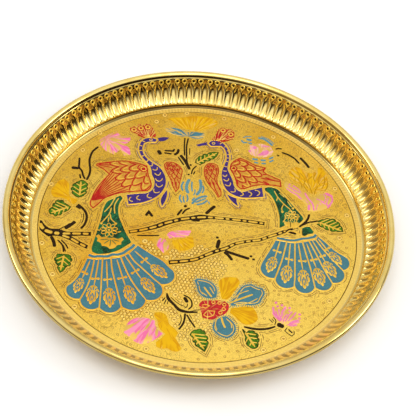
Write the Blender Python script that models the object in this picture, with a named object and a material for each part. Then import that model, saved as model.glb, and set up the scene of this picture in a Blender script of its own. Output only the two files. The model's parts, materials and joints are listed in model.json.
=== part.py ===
"""Puja thali: a fluted brass plate with a rolled rim and two enamelled peacocks on its floor.

The floor lies in the XY plane, +Z is up and the origin is under the middle of the plate.
The peacocks stand upright towards +Y.
"""
import math

import bmesh
import bpy

MM = 0.001

# Brass sheet and the flat floor
SHEET = 1.0 * MM
FLOOR_RADIUS = 119.0 * MM
LEDGE_WIDTH = 3.8 * MM
FRAME_LINE_WIDTH = 0.6 * MM
FRAME_LINE_DEPTH = 0.3 * MM

# Step at the floor's edge, and the flared wall above it
STEP_FLARE = 2.6 * MM
STEP_RISE = 3.0 * MM
WALL_FLARE = 11.9 * MM
WALL_RISE = 15.0 * MM
SHOULDER_WIDTH = 1.5 * MM
SHOULDER_RISE = 0.8 * MM

# Flutes pressed into the wall, short and tall in turn
FLUTE_PAIRS = 66
FLUTE_DEPTH = 0.8 * MM
FLUTE_FOOT_RISE = 1.5 * MM
SHORT_FLUTE_DROP = 3.3 * MM

# Rolled rim and the wire inside it
ROLL_RADIUS = 2.5 * MM
ROLL_TURN = math.radians(300)
ROLL_SEGMENTS = 10
WIRE_CLEARANCE = 0.35 * MM
WIRE_SIDES = 8

# Enamel in its engraved recesses
RECESS_DEPTH = 0.5 * MM
ENAMEL_GAP = 0.12 * MM
CUT_ABOVE_FLOOR = 1.0 * MM
MITRE_LIMIT = 2.0
WELD_DISTANCE = 0.001 * MM
SHARP_ANGLE = math.radians(35)
DRAWN_FRAME_RADIUS = 115.2
FEATHER_GAP = 1.0
TIP_SEGMENTS = 6

# Points round the plate to each pair of flutes: one on the plain rings, more on the wall
PLAIN_STEPS = FLUTE_PAIRS
WALL_POINTS_PER_PAIR = 4

# What follows from the dimensions above
FRAME_RADIUS = FLOOR_RADIUS - LEDGE_WIDTH
ROLL_CENTRE_RADIUS = FLOOR_RADIUS + STEP_FLARE + WALL_FLARE + SHOULDER_WIDTH + ROLL_RADIUS
ROLL_CENTRE_HEIGHT = SHEET + STEP_RISE + WALL_RISE + SHOULDER_RISE
DRAWING_UNIT = FRAME_RADIUS / DRAWN_FRAME_RADIUS
ENAMEL_THICKNESS = RECESS_DEPTH - ENAMEL_GAP

# Colour, metallic and roughness of each material
FINISHES = {
    "brass": ((0.78, 0.55, 0.20), 1.0, 0.30),
    "steel": ((0.55, 0.55, 0.56), 1.0, 0.40),
    "indigo": ((0.05, 0.03, 0.22), 0.0, 0.35),
    "red": ((0.55, 0.05, 0.03), 0.0, 0.35),
    "emerald": ((0.02, 0.16, 0.09), 0.0, 0.35),
    "light_blue": ((0.08, 0.24, 0.32), 0.0, 0.35),
    "leaf_green": ((0.07, 0.20, 0.02), 0.0, 0.35),
    "yellow": ((0.82, 0.47, 0.02), 0.0, 0.35),
    "pink": ((0.87, 0.25, 0.50), 0.0, 0.35),
    "dark": ((0.03, 0.02, 0.015), 0.0, 0.45),
}

# The picture is drawn in millimetres on a plate whose frame line has DRAWN_FRAME_RADIUS.
# Outlines of the enamel areas, each as its finish and its corner points
OUTLINES = {
    "left_crest": ("red", [
        (-46, 83), (-41, 84.4), (-42, 87.5), (-44, 91.5), (-46.5, 95), (-49.5, 95.8), (-52, 94),
        (-55.5, 94.7), (-57, 92), (-60.5, 91.3), (-61.8, 88.3), (-60.3, 85.5), (-57, 85.8),
        (-55, 83), (-52, 82.2), (-49.5, 83)]),
    "left_body": ("indigo", [
        (-40, 80.8), (-43, 82), (-47.5, 81.2), (-50.5, 78.7), (-52, 74), (-52, 69), (-50, 63.5),
        (-46, 58.5), (-42, 53.7), (-40.2, 49.5), (-39.5, 46), (-37, 41), (-36.4, 36), (-37, 32),
        (-40, 28), (-46, 26), (-55.3, 23.3), (-54, 19), (-52.7, 14.7), (-42.5, 18.2), (-37, 21.8),
        (-32, 27), (-29.4, 32.5), (-28.3, 38), (-29, 44), (-31, 49), (-35, 54), (-41, 57.8),
        (-46, 62), (-49, 67), (-49.7, 72), (-49, 76), (-45, 78), (-41, 78.5)]),
    "left_wing": ("red", [
        (-44, 53.8), (-42.6, 49), (-41.6, 45), (-39.5, 40), (-38.2, 35.5), (-38.8, 31.8),
        (-41.5, 29), (-50, 26.9), (-56.5, 25), (-60.5, 23.6), (-65.5, 20.6), (-70.3, 17),
        (-74, 11), (-77.5, 6), (-80.3, 9), (-80.2, 16), (-78, 25.5), (-74.5, 34), (-71, 40.5),
        (-75.5, 44.3), (-81.8, 47.5), (-80.5, 50), (-72, 53), (-60, 56), (-52, 55.6)]),
    "left_far_wing": ("red", [
        (-26, 60.8), (-30, 60), (-31.8, 57.5), (-31, 53.5), (-28.5, 48.5), (-25.5, 43),
        (-23, 36.5), (-20, 31.5), (-18, 36), (-17.5, 44), (-17, 52), (-19, 57), (-22.5, 59.8)]),
    "left_leg": ("indigo", [
        (-26.6, 33), (-28.6, 28.5), (-30, 22.5), (-28.4, 16.5), (-26.6, 22.5), (-26, 28.5)]),
    "left_train": ("emerald", [
        (-59.6, 21.8), (-57.6, 19.5), (-59.3, 14), (-59.3, 8), (-57.8, 2), (-55, -4), (-51, -12),
        (-45.8, -20), (-49, -23.5), (-55, -29.3), (-63, -33.2), (-69, -34.2), (-72.3, -33),
        (-73.2, -29), (-71.7, -15), (-70.5, -2), (-69.8, 9), (-68.2, 14.5), (-64.6, 17.8)]),
    "right_crest": ("red", [
        (1.3, 89.4), (3.5, 92.8), (4.8, 97.5), (6, 100.6), (8.3, 101.9), (11, 100.8), (14, 101.8),
        (16.5, 99.8), (18, 95.5), (17, 91.8), (14, 89.8), (10.5, 89.2), (6, 89.4)]),
    "right_body": ("indigo", [
        (-0.8, 84), (0.5, 86.4), (4, 87.6), (8, 87.3), (11, 85), (13.5, 81.5), (15, 77.5),
        (16, 72), (15.7, 66), (15.8, 61), (18, 56), (20.5, 50.5), (22.2, 45), (25, 41.5),
        (29, 40.7), (34, 43), (42.7, 47.3), (44.6, 38.3), (36, 36.2), (28, 35), (22, 36.7),
        (17.5, 39.7), (14.2, 45), (12.3, 51.5), (11.9, 58.5), (13.2, 65), (14.1, 71), (13.5, 76),
        (11.3, 81), (8.8, 83.1), (5, 82.4), (1.2, 81.7)]),
    "right_wing": ("red", [
        (18.2, 67.5), (20.5, 70.8), (24, 73.8), (29, 72), (35, 69), (44.5, 67.2), (43, 63.2),
        (46, 60.8), (56, 57), (57.3, 50), (50, 50.2), (43, 49.3), (36.5, 47.3), (30, 43.2),
        (26.8, 43.2), (24.3, 45.2), (22.8, 50), (20.2, 56.5), (17.9, 60.5), (17.3, 64.5)]),
    "right_far_wing": ("red", [
        (4, 64.8), (0.5, 63.8), (-1.6, 60), (-1.6, 54), (0, 48.5), (3.5, 42.5), (8, 37),
        (11.3, 31.5), (13.3, 33.5), (13, 39.5), (10.2, 45), (9.2, 50.5), (9.8, 56), (9.3, 60.5),
        (7.5, 63.8)]),
    "right_leg": ("indigo", [
        (17.4, 36.4), (20.5, 34.9), (25, 33.4), (25.2, 31), (26.8, 26), (23.6, 28.4), (20.5, 31.6)]),
    "right_train": ("emerald", [
        (44.9, 47), (47.5, 48.4), (53.5, 47.8), (58, 43.5), (63, 38), (68.5, 31.5), (74, 25),
        (75.4, 22.3), (73.5, 18.8), (69, 15.8), (64.5, 15.8), (61.3, 13), (58.4, 10.8),
        (58.2, 16), (57.5, 22), (55.6, 29), (52, 37.5), (48.5, 42.3), (45.2, 45)]),
    "right_train_tip": ("emerald", [
        (74.6, 13), (77, 14.9), (80.3, 15.8), (83.5, 11.6), (82.8, 9.6), (79.5, 8.4), (77, 6.4),
        (75.3, 6.6)]),
    "top_leaf": ("leaf_green", [
        (-8.5, 63), (-8.3, 66.5), (-5.5, 70.5), (-1, 73.6), (3, 75.6), (7.2, 76), (6, 71.5),
        (3.5, 68.3), (-0.5, 65.5), (-4.8, 61.8)]),
    "left_upper_leaf": ("leaf_green", [
        (-92, 29.5), (-89.5, 31.2), (-87.3, 30.6), (-84.8, 28.3), (-84.5, 24.5), (-84.9, 19.5),
        (-87, 16.5), (-89.7, 15), (-93, 16.5), (-95.4, 20), (-95.7, 24.5), (-94.3, 27.8)]),
    "left_middle_leaf": ("leaf_green", [
        (-105.3, 8.3), (-103, 10.4), (-99.8, 9.6), (-97.5, 7.2), (-93.8, 5), (-95, 2), (-98, -1),
        (-100.5, -4), (-103.3, -5.3), (-104.8, -3.5), (-107, -3.8), (-108.3, -1.5), (-107, 3)]),
    "left_lower_leaf": ("leaf_green", [
        (-91, -38.6), (-95.8, -39), (-97, -42), (-96.9, -45.8), (-94.8, -48), (-93.8, -51),
        (-91.5, -54.6), (-89.4, -52), (-88.8, -50), (-86.3, -48.3), (-85.3, -44.5),
        (-85.7, -40.5), (-88, -38.6)]),
    "right_leaf": ("leaf_green", [
        (86, 21.9), (90.5, 24.6), (94.5, 26), (97, 25.8), (101, 23.3), (103.4, 19.6),
        (104.6, 15.4), (100.5, 14.7), (95.5, 14.2), (90.5, 16), (85.8, 18.9), (88, 20.2)]),
    "bottom_left_leaf": ("leaf_green", [
        (5.3, -90.2), (9.5, -87.3), (12.8, -87.4), (14.8, -90.5), (16.5, -94), (17, -98.5),
        (15.3, -104.7), (12, -102.8), (9, -101), (6.8, -98), (6.3, -95), (4.2, -93)]),
    "bottom_right_leaf": ("leaf_green", [
        (39.4, -82.6), (42.3, -85.5), (44.2, -82.8), (48.5, -83.5), (51, -87.5), (51.1, -92.5),
        (50.3, -96), (48, -97.2), (44.8, -96), (42.4, -93), (41.9, -88.5)]),
    "top_yellow_flower": ("yellow", [
        (-35, 103.4), (-30, 105.8), (-24, 107), (-17, 109.5), (-9, 110.6), (-2, 110.2),
        (3.4, 108), (4, 105), (1, 101), (-4, 97.6), (-8, 95.4), (-14, 95.4), (-19, 95.6),
        (-24, 96.8), (-28, 99.5), (-31, 102)]),
    "top_flower_cup": ("light_blue", [
        (-35, 94), (-31, 95), (-25, 94.8), (-20, 93.3), (-17, 92.6), (-14, 93.6), (-9, 93.8),
        (-5, 93.4), (-4.6, 90), (-8, 87.5), (-14, 87.3), (-17.5, 88.3), (-21, 87.4), (-27, 88),
        (-32, 89.5), (-34.8, 92)]),
    "left_pink_flower": ("pink", [
        (-71, 84.2), (-68.5, 81), (-60, 80.2), (-60, 76), (-63.5, 72), (-59.5, 68.5),
        (-57.5, 62.5), (-62, 60.8), (-66, 66), (-70, 60.7), (-76, 63), (-80.5, 67.5),
        (-82.7, 73), (-79.5, 76.8), (-75.5, 80.5)]),
    "left_yellow_flower": ("yellow", [
        (-102.5, 30.6), (-106.5, 27.5), (-108, 23), (-109.8, 19.5), (-108.8, 14), (-107, 12.2),
        (-102, 12.5), (-97, 11), (-94, 8.6), (-91.5, 7.8), (-90, 11), (-90, 13.2), (-94.5, 14),
        (-97, 17.5), (-97.5, 23), (-98.5, 27)]),
    "centre_pink_upper": ("pink", [
        (-22, -9.5), (-20, -6.3), (-16, -4.4), (-11, -3.4), (-4.8, -2.3), (-5.5, -5.5),
        (-8, -8.8), (-12, -9.6), (-16, -10.5), (-19.5, -12)]),
    "centre_pink_lower": ("pink", [
        (-26, -13), (-28.2, -16.5), (-27.8, -19.5), (-25.5, -22.5), (-22, -26), (-19.4, -21.5),
        (-20, -16.5), (-23.5, -12.6)]),
    "centre_yellow_petal": ("yellow", [
        (-17.6, -13.6), (-13.5, -11.8), (-9.5, -10.6), (-6, -8.5), (-3.3, -7.6), (-2, -12),
        (-1.2, -16), (-3.5, -18.7), (-7, -21), (-12, -21.5), (-15.8, -19)]),
    "right_yellow_flower": ("yellow", [
        (61.8, 66), (63.5, 69.5), (67, 72), (71.5, 70.5), (75, 67.8), (79, 67.5), (81.7, 70.5),
        (83.3, 74), (86, 74.3), (88.8, 70.5), (90.7, 65), (91.3, 58), (90.2, 52.6), (86, 51.2),
        (82.5, 46.8), (79, 47.8), (76, 51.5), (72.5, 54.5), (66.5, 57.5), (62.5, 61)]),
    "right_pink_flower": ("pink", [
        (60, 56.2), (64.5, 54), (70, 51), (74, 47.8), (78.5, 45), (82.3, 44), (86, 47.8),
        (91, 50.2), (95, 49.3), (96.3, 45), (95.2, 38.5), (91, 34.8), (84, 30.8), (78, 30.4),
        (76.8, 35.5), (72, 40.3), (66, 44.5), (60.5, 49.5), (59, 52.8)]),
    "red_flower_centre": ("red", [
        (7.6, -66.5), (9.5, -62.9), (14, -62), (20, -61), (25, -60.9), (28, -63.5),
        (28.3, -67), (26.8, -71), (22.5, -74.3), (18, -77.9), (11, -77.3), (10, -73.5),
        (8.6, -69.8)]),
    "blue_petal_left": ("light_blue", [
        (2.3, -46.5), (3.8, -44.4), (10, -44.6), (14.5, -46.2), (17.6, -49.5), (19, -54),
        (18.6, -59), (13.5, -60.3), (9, -59), (5.8, -55.5), (4.3, -51)]),
    "blue_petal_right": ("light_blue", [
        (29, -61.3), (31.5, -56.8), (33.5, -51), (36.5, -45.8), (42, -43), (47, -45.2),
        (50.3, -45.5), (52.2, -49.5), (50.8, -54.5), (49, -59), (44, -61.3), (37, -61.6),
        (32, -63.6), (29.8, -64)]),
    "blue_petal_bottom": ("light_blue", [
        (23.5, -75.3), (27, -73.3), (31, -76.2), (34.3, -80.5), (34.8, -85), (33, -89),
        (29.8, -91.8), (25.5, -91), (21.5, -88.8), (18.8, -84.5), (19.3, -80)]),
    "yellow_petal_top": ("yellow", [
        (19.3, -44.5), (21.5, -41.3), (26, -39.5), (31.5, -39), (34, -42.5), (32.8, -47.5),
        (30.5, -52.5), (28.5, -57), (26.5, -59.4), (22.8, -59.2), (21.3, -54.5), (20, -49)]),
    "yellow_petal_right": ("yellow", [
        (29.8, -66), (34, -65), (39, -63.2), (45, -63), (48, -67.5), (49.4, -72.5),
        (46.5, -76.5), (40, -78.3), (36.5, -76), (33, -73), (29.5, -70.3)]),
    "bottom_pink_flower": ("pink", [
        (-40.8, -98), (-39.6, -91), (-37, -87), (-33, -84.5), (-28.5, -83.7), (-21, -85),
        (-20, -89.5), (-14.3, -95), (-17.3, -98.5), (-20, -101.3), (-24, -104.2),
        (-28.5, -105.5), (-33, -104), (-36, -101.5)]),
    "bottom_yellow_flower": ("yellow", [
        (-22, -78.2), (-18, -77.3), (-14.5, -78.6), (-12.5, -82), (-11, -86), (-6.5, -89.8),
        (-4, -92.6), (-5.5, -97), (-2.8, -101), (-0.3, -105.3), (-2.5, -107.8), (-6.5, -108),
        (-10, -106.5), (-13.5, -107.3), (-17.5, -106.3), (-18.3, -102.5), (-15.5, -99.3),
        (-12.7, -95), (-18, -89.5), (-19.5, -84.3), (-22, -81)]),
    "bottom_right_pink_flower": ("pink", [
        (58.2, -59.3), (57.8, -63.5), (59.5, -67.5), (63, -70.8), (68, -74), (73, -74.3),
        (76.5, -72), (79, -70), (75.8, -67.5), (75.5, -64), (76, -61), (73, -63.3),
        (70, -64.8), (67.6, -58), (65.2, -61), (61.5, -61.5)]),
    "left_branch": ("dark", [
        (-113.4, -10.9), (-111.8, -11), (-109.5, -14), (-105, -16.9), (-99, -16.6),
        (-92.5, -18), (-86, -17), (-75.6, -15.5), (-75.3, -19), (-83, -20.2), (-89, -21.6),
        (-82, -25.2), (-76, -27.8), (-76.4, -31.2), (-82, -28.8), (-90, -25.3), (-100, -23),
        (-105, -24.6), (-110, -21.3), (-112.2, -19), (-112.9, -14.8)]),
}

# Enamel strips, each as its finish and points along its middle with the width there
STRIPS = {
    "left_tail_band": ("light_blue", [
        (-74.3, -36.2, 2.2), (-70.5, -37, 2.2), (-67, -36.1, 2.2), (-63.5, -35.7, 2.2),
        (-60.5, -35, 2.2), (-58, -33.2, 2.2), (-53.5, -32.3, 2.2), (-50.3, -30.3, 2.2),
        (-47.5, -27, 2.2), (-44.8, -24, 2.2), (-43.6, -21.5, 2.2)]),
    "right_tail_band": ("light_blue", [
        (57.3, 1.4, 2), (62, 0.9, 2), (67, 0.8, 2), (70.5, 1.3, 2), (73, 2.4, 2), (75.8, 3.8, 2),
        (79, 4.6, 2), (81.8, 5.8, 2), (84.2, 7, 2), (85.2, 9.4, 2)]),
    "upper_branch": ("dark", [
        (-49, -11, 3), (-42.5, -8.6, 3), (-36, -5.8, 3.4), (-30, -2.6, 4), (-24, 1.4, 4),
        (-18, 4.6, 3.6), (-12, 7.4, 3.6), (-6, 9.3, 3.8), (1, 11.2, 5), (8, 12.2, 3),
        (16, 12.7, 2.6), (25, 13, 2.8), (34, 13.2, 3), (47.3, 13, 3)]),
    "lower_branch": ("dark", [
        (-17.5, -33.6, 3.6), (-8, -31, 3.4), (1, -27.7, 3.2), (9, -22, 3), (16, -17.3, 3.4),
        (21, -14.6, 3.2), (28, -9, 2.6), (36, -5.5, 2.6), (45, -2.6, 2.6), (52, 1.8, 2.6),
        (58, 5.4, 2.8), (63.5, 9, 2.6), (70, 12.8, 1.4), (76, 17.3, 1.6), (80.5, 20.2, 1.2),
        (84, 21.2, 1)]),
    "hook_stem": ("dark", [
        (-89, 7.6, 2.4), (-86, 6, 1.6), (-83, 3, 1.3), (-81, -1, 1.3), (-80.7, -6, 1.3),
        (-81.5, -10, 1.3), (-83.2, -13.4, 1.3)]),
    "bottom_branch": ("dark", [
        (-15.6, -60.5, 1), (-14.6, -64, 2.2), (-9.5, -69.5, 2), (-5.5, -73.2, 2.4), (0, -74.2, 2),
        (7.3, -73.2, 1.2)]),
    "bottom_stem": ("dark", [
        (40.5, -80.4, 0.8), (46, -81, 1.4), (52, -80.6, 1.4), (57, -79.2, 1.2),
        (61.5, -76.8, 0.8)]),
}

# Gold lines between the feathers of each tail, from the band outwards, and how far each tip bulges
TAIL_LINES = {
    "left": [
        [(-75.1, -39.2), (-77, -48), (-80, -58), (-82.5, -62.2), (-85.3, -65.8)],
        [(-69.7, -39.8), (-69.8, -50), (-70.4, -59), (-72, -67), (-74.3, -75)],
        [(-64, -38.4), (-62.9, -50), (-61.4, -64), (-60.2, -80)],
        [(-58.2, -36.9), (-56.5, -44.5), (-53.5, -54), (-49.5, -65), (-45.5, -76.3)],
        [(-51.5, -34.7), (-47.5, -43), (-43, -51), (-37.5, -58.8), (-32, -65.3), (-29.3, -68.7)],
        [(-46.3, -30.3), (-42, -36), (-36, -41.2), (-30, -46.3), (-25, -50.5), (-20.7, -53.7)],
        [(-40.8, -21.7), (-36, -24.7), (-29, -28.7), (-22, -32.5), (-16.2, -37.8)],
    ],
    "right": [
        [(56, -0.9), (54, -7), (52, -12), (49.5, -18.5), (47.6, -24.2)],
        [(64.5, -1.4), (63.7, -8), (62.4, -17.5), (60.4, -27), (58.5, -35.3)],
        [(70.5, -1.4), (71.5, -17), (72.5, -33), (72.6, -39.8)],
        [(76, 0.3), (79.5, -11), (83.5, -24), (87.1, -38.3)],
        [(80.6, 2.3), (86.5, -9), (93, -22), (99.2, -32.8)],
        [(85.5, 4.2), (91, -3.2), (98.5, -12), (106.4, -20.4)],
        [(87, 7.9), (91.8, 4.2), (96, 0.3), (100.4, -3.5), (106.8, -7)],
    ],
}
TIP_BULGES = {
    "left": (3.9, 4.8, 5.0, 5.7, 5.7, 6.3),
    "right": (4.4, 5.0, 5.8, 4.6, 4.3, 4.0),
}


def clear_scene():
    for old in list(bpy.data.objects):
        bpy.data.objects.remove(old)


def new_collection(name):
    collection = bpy.data.collections.new(name)
    bpy.context.scene.collection.children.link(collection)
    return collection


def make_materials():
    materials = {}
    for name, (colour, metallic, roughness) in FINISHES.items():
        material = bpy.data.materials.new(name)
        material.use_nodes = True
        shader = material.node_tree.nodes["Principled BSDF"]
        shader.inputs["Base Color"].default_value = (*colour, 1.0)
        shader.inputs["Metallic"].default_value = metallic
        shader.inputs["Roughness"].default_value = roughness
        materials[name] = material
    return materials


def unit_normal(start, end):
    """Unit vector to the left of the way from start to end."""
    across = end[0] - start[0]
    along = end[1] - start[1]
    length = math.hypot(across, along)
    return (-along / length, across / length)


def parallel(points, distances, closed=False):
    """Points moved to the left of their path, by one distance each, with mitred corners."""
    count = len(points)
    moved = []
    for i, (x, y) in enumerate(points):
        before = unit_normal(points[i - 1], (x, y)) if i or closed else None
        after = unit_normal((x, y), points[(i + 1) % count]) if i < count - 1 or closed else None
        first = before or after
        second = after or before
        scale = 1 + first[0] * second[0] + first[1] * second[1]
        mitre = distances[i] / max(scale, 1 / MITRE_LIMIT)
        moved.append((x + mitre * (first[0] + second[0]), y + mitre * (first[1] + second[1])))
    return moved


def signed_area(points):
    total = 0.0
    for (x0, y0), (x1, y1) in zip(points, points[1:] + points[:1]):
        total += x0 * y1 - x1 * y0
    return total / 2


def counterclockwise(points):
    return points if signed_area(points) > 0 else points[::-1]


def strip_outline(stations):
    """Outline of a strip from points along its middle, with the width at each."""
    middle = [(x, y) for x, y, width in stations]
    halves = [width / 2 for x, y, width in stations]
    left = parallel(middle, halves)
    right = parallel(middle, [-half for half in halves])
    return left + right[::-1]


def tip_arc(start, end, bulge):
    """Points between start and end on a circular arc that rises by bulge to the right."""
    chord = math.dist(start, end)
    radius = (chord * chord / 4 + bulge * bulge) / (2 * bulge)
    left = unit_normal(start, end)
    centre_shift = radius - bulge
    centre = ((start[0] + end[0]) / 2 + left[0] * centre_shift,
              (start[1] + end[1]) / 2 + left[1] * centre_shift)
    first = math.atan2(start[1] - centre[1], start[0] - centre[0])
    last = math.atan2(end[1] - centre[1], end[0] - centre[0])
    sweep = (last - first) % (2 * math.pi)
    points = []
    for i in range(1, TIP_SEGMENTS):
        angle = first + sweep * i / TIP_SEGMENTS
        points.append((centre[0] + radius * math.cos(angle), centre[1] + radius * math.sin(angle)))
    return points


def feather_outline(left_line, right_line, bulge):
    """One tail feather between two gold lines, with a round tip."""
    half = FEATHER_GAP / 2
    left = parallel(left_line, [half] * len(left_line))
    right = parallel(right_line, [-half] * len(right_line))
    return left + tip_arc(left[-1], right[-1], bulge) + right[::-1]


def picture_areas():
    """Every enamel area as its name, finish and outline in drawing units."""
    areas = [(name, finish, points) for name, (finish, points) in OUTLINES.items()]
    for name, (finish, stations) in STRIPS.items():
        areas.append((name, finish, strip_outline(stations)))
    for side, lines in TAIL_LINES.items():
        for i, bulge in enumerate(TIP_BULGES[side]):
            outline = feather_outline(lines[i], lines[i + 1], bulge)
            areas.append((f"{side}_tail_feather_{i + 1}", "light_blue", outline))
    return areas


def add_slab(name, outline, bottom, top, collection, material=None):
    """Flat slab with the given outline, as a filled 2D curve."""
    curve = bpy.data.curves.new(name, "CURVE")
    curve.dimensions = "2D"
    curve.fill_mode = "BOTH"
    curve.extrude = (top - bottom) / 2
    spline = curve.splines.new("POLY")
    spline.points.add(len(outline) - 1)
    for point, (x, y) in zip(spline.points, outline):
        point.co = (x, y, 0, 1)
    spline.use_cyclic_u = True
    if material:
        curve.materials.append(material)
    slab = bpy.data.objects.new(name, curve)
    slab.location.z = (top + bottom) / 2
    collection.objects.link(slab)
    return slab


def curve_to_mesh(slab, collection):
    """Replace a curve object with a closed mesh object of the same name and place."""
    bpy.context.view_layer.update()
    evaluated = slab.evaluated_get(bpy.context.evaluated_depsgraph_get())
    mesh = bpy.data.meshes.new_from_object(evaluated)
    bm = bmesh.new()
    bm.from_mesh(mesh)
    bmesh.ops.remove_doubles(bm, verts=bm.verts, dist=WELD_DISTANCE)
    bm.to_mesh(mesh)
    bm.free()
    name = slab.name
    place = slab.matrix_world.copy()
    bpy.data.objects.remove(slab)
    solid = bpy.data.objects.new(name, mesh)
    solid.matrix_world = place
    collection.objects.link(solid)
    return solid


def sheet_section():
    """Upper face of the sheet, as radius and height, from the axis to the start of the roll."""
    step_top = (FLOOR_RADIUS + STEP_FLARE, SHEET + STEP_RISE)
    section = [(0, SHEET), (FLOOR_RADIUS, SHEET)]
    for rise in (0, FLUTE_FOOT_RISE, WALL_RISE - SHORT_FLUTE_DROP, WALL_RISE):
        section.append((step_top[0] + rise * WALL_FLARE / WALL_RISE, step_top[1] + rise))
    section.append((ROLL_CENTRE_RADIUS - ROLL_RADIUS, ROLL_CENTRE_HEIGHT))
    return section


def roll_section(radius):
    """Points round the roll at one radius, over the top and down to its loose end."""
    points = []
    for i in range(1, ROLL_SEGMENTS + 1):
        angle = math.pi - ROLL_TURN * i / ROLL_SEGMENTS
        points.append((ROLL_CENTRE_RADIUS + radius * math.cos(angle),
                       ROLL_CENTRE_HEIGHT + radius * math.sin(angle)))
    return points


def face_rings(section):
    """One face of the sheet from the floor's edge outwards, as rings for add_ring."""
    tall_and_short = [None, None, (1, 1), (1, 1), (1, 0), None]
    return list(zip(section[1:], tall_and_short))


def add_ring(bm, place, flutes=None):
    """Ring of vertices at a radius and height.

    On a fluted ring every second point is pressed outwards, square to the wall's slope,
    by the share of the flute depth given for the tall flutes and for the short ones.
    """
    radius, height = place
    steps = PLAIN_STEPS * (WALL_POINTS_PER_PAIR if flutes else 1)
    slope = math.atan2(WALL_RISE, WALL_FLARE)
    ring = []
    for i in range(steps):
        depth = 0.0
        if flutes and i % 2:
            depth = FLUTE_DEPTH * flutes[i % WALL_POINTS_PER_PAIR // 2]
        angle = 2 * math.pi * i / steps
        reach = radius + depth * math.sin(slope)
        z = height - depth * math.cos(slope)
        ring.append(bm.verts.new((reach * math.cos(angle), reach * math.sin(angle), z)))
    return ring


def join_rings(bm, first, second):
    """Skin between two rings. A plain and a fluted ring are joined by fans of triangles."""
    if len(first) == len(second):
        for i in range(len(first)):
            bm.faces.new((first[i - 1], first[i], second[i], second[i - 1]))
        return
    coarse, fine = sorted((first, second), key=len)
    ratio = len(fine) // len(coarse)
    middle = ratio // 2
    for i in range(len(coarse)):
        here = coarse[i - 1]
        ahead = coarse[i]
        span = [fine[ratio * (i - 1) + j] for j in range(ratio)] + [fine[ratio * i]]
        bm.faces.new((here, ahead, span[middle]))
        for j in range(ratio):
            bm.faces.new((here if j < middle else ahead, span[j + 1], span[j]))


def add_pan(collection, recess_cutters, material):
    """The pressed sheet, lofted ring by ring round its section, with the recesses cut out."""
    upper = sheet_section()
    roll = roll_section(ROLL_RADIUS)
    path = upper + roll[:1]
    lower = parallel(path, [-SHEET] * len(path))[:-1]
    half_line = FRAME_LINE_WIDTH / 2
    frame_line = [(FRAME_RADIUS + half_line, SHEET), (FRAME_RADIUS, SHEET - FRAME_LINE_DEPTH),
                  (FRAME_RADIUS - half_line, SHEET)]

    bm = bmesh.new()
    loops = [add_ring(bm, *ring) for ring in face_rings(lower)]
    loops += [add_ring(bm, place) for place in roll_section(ROLL_RADIUS - SHEET)]
    loops += [add_ring(bm, place) for place in reversed(roll)]
    loops += [add_ring(bm, *ring) for ring in reversed(face_rings(upper))]
    loops += [add_ring(bm, place) for place in frame_line]
    for first, second in zip(loops, loops[1:]):
        join_rings(bm, first, second)
    bm.faces.new(loops[0])
    bm.faces.new(loops[-1])
    bmesh.ops.recalc_face_normals(bm, faces=bm.faces)
    mesh = bpy.data.meshes.new("thali_pan")
    bm.to_mesh(mesh)
    bm.free()
    mesh.shade_smooth()
    mesh.set_sharp_from_angle(angle=SHARP_ANGLE)
    mesh.materials.append(material)
    pan = bpy.data.objects.new("thali_pan", mesh)
    collection.objects.link(pan)
    recesses = pan.modifiers.new("recesses", "BOOLEAN")
    recesses.operation = "DIFFERENCE"
    recesses.solver = "EXACT"
    recesses.operand_type = "COLLECTION"
    recesses.collection = recess_cutters


def add_rim_wire(collection, material):
    """Steel wire ring inside the rolled rim."""
    bpy.ops.mesh.primitive_torus_add(
        major_radius=ROLL_CENTRE_RADIUS, minor_radius=ROLL_RADIUS - SHEET - WIRE_CLEARANCE,
        major_segments=PLAIN_STEPS, minor_segments=WIRE_SIDES,
        location=(0, 0, ROLL_CENTRE_HEIGHT))
    wire = bpy.context.object
    wire.name = "rim_wire"
    wire.data.shade_smooth()
    wire.data.materials.append(material)
    for holder in list(wire.users_collection):
        holder.objects.unlink(wire)
    collection.objects.link(wire)


def add_enamel(collection, recess_cutters, materials):
    """Each enamel area, level with the floor, and the cutter for its recess."""
    recess_floor = SHEET - RECESS_DEPTH
    for name, finish, drawn in picture_areas():
        outline = [(x * DRAWING_UNIT, y * DRAWING_UNIT) for x, y in counterclockwise(drawn)]
        add_slab(name, outline, SHEET - ENAMEL_THICKNESS, SHEET, collection, materials[finish])
        recess = parallel(outline, [-ENAMEL_GAP] * len(outline), closed=True)
        recess_top = SHEET + CUT_ABOVE_FLOOR
        slab = add_slab("recess_" + name, recess, recess_floor, recess_top, recess_cutters)
        cutter = curve_to_mesh(slab, recess_cutters)
        cutter.hide_render = True
        cutter.display_type = "WIRE"


def main():
    clear_scene()
    parts = new_collection("puja_thali")
    recess_cutters = new_collection("recess_cutters")
    materials = make_materials()
    add_enamel(parts, recess_cutters, materials)
    add_pan(parts, recess_cutters, materials["brass"])
    add_rim_wire(parts, materials["steel"])


main()
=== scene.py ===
"""Puja thali: looks of the fluted brass plate with two enamelled peacocks.

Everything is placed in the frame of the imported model. The picture is drawn in millimetres from
the plate's middle, with x to the right and y to the top edge.
"""
import json
import math

import bpy
import numpy as np
from mathutils import Matrix, Vector


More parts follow.
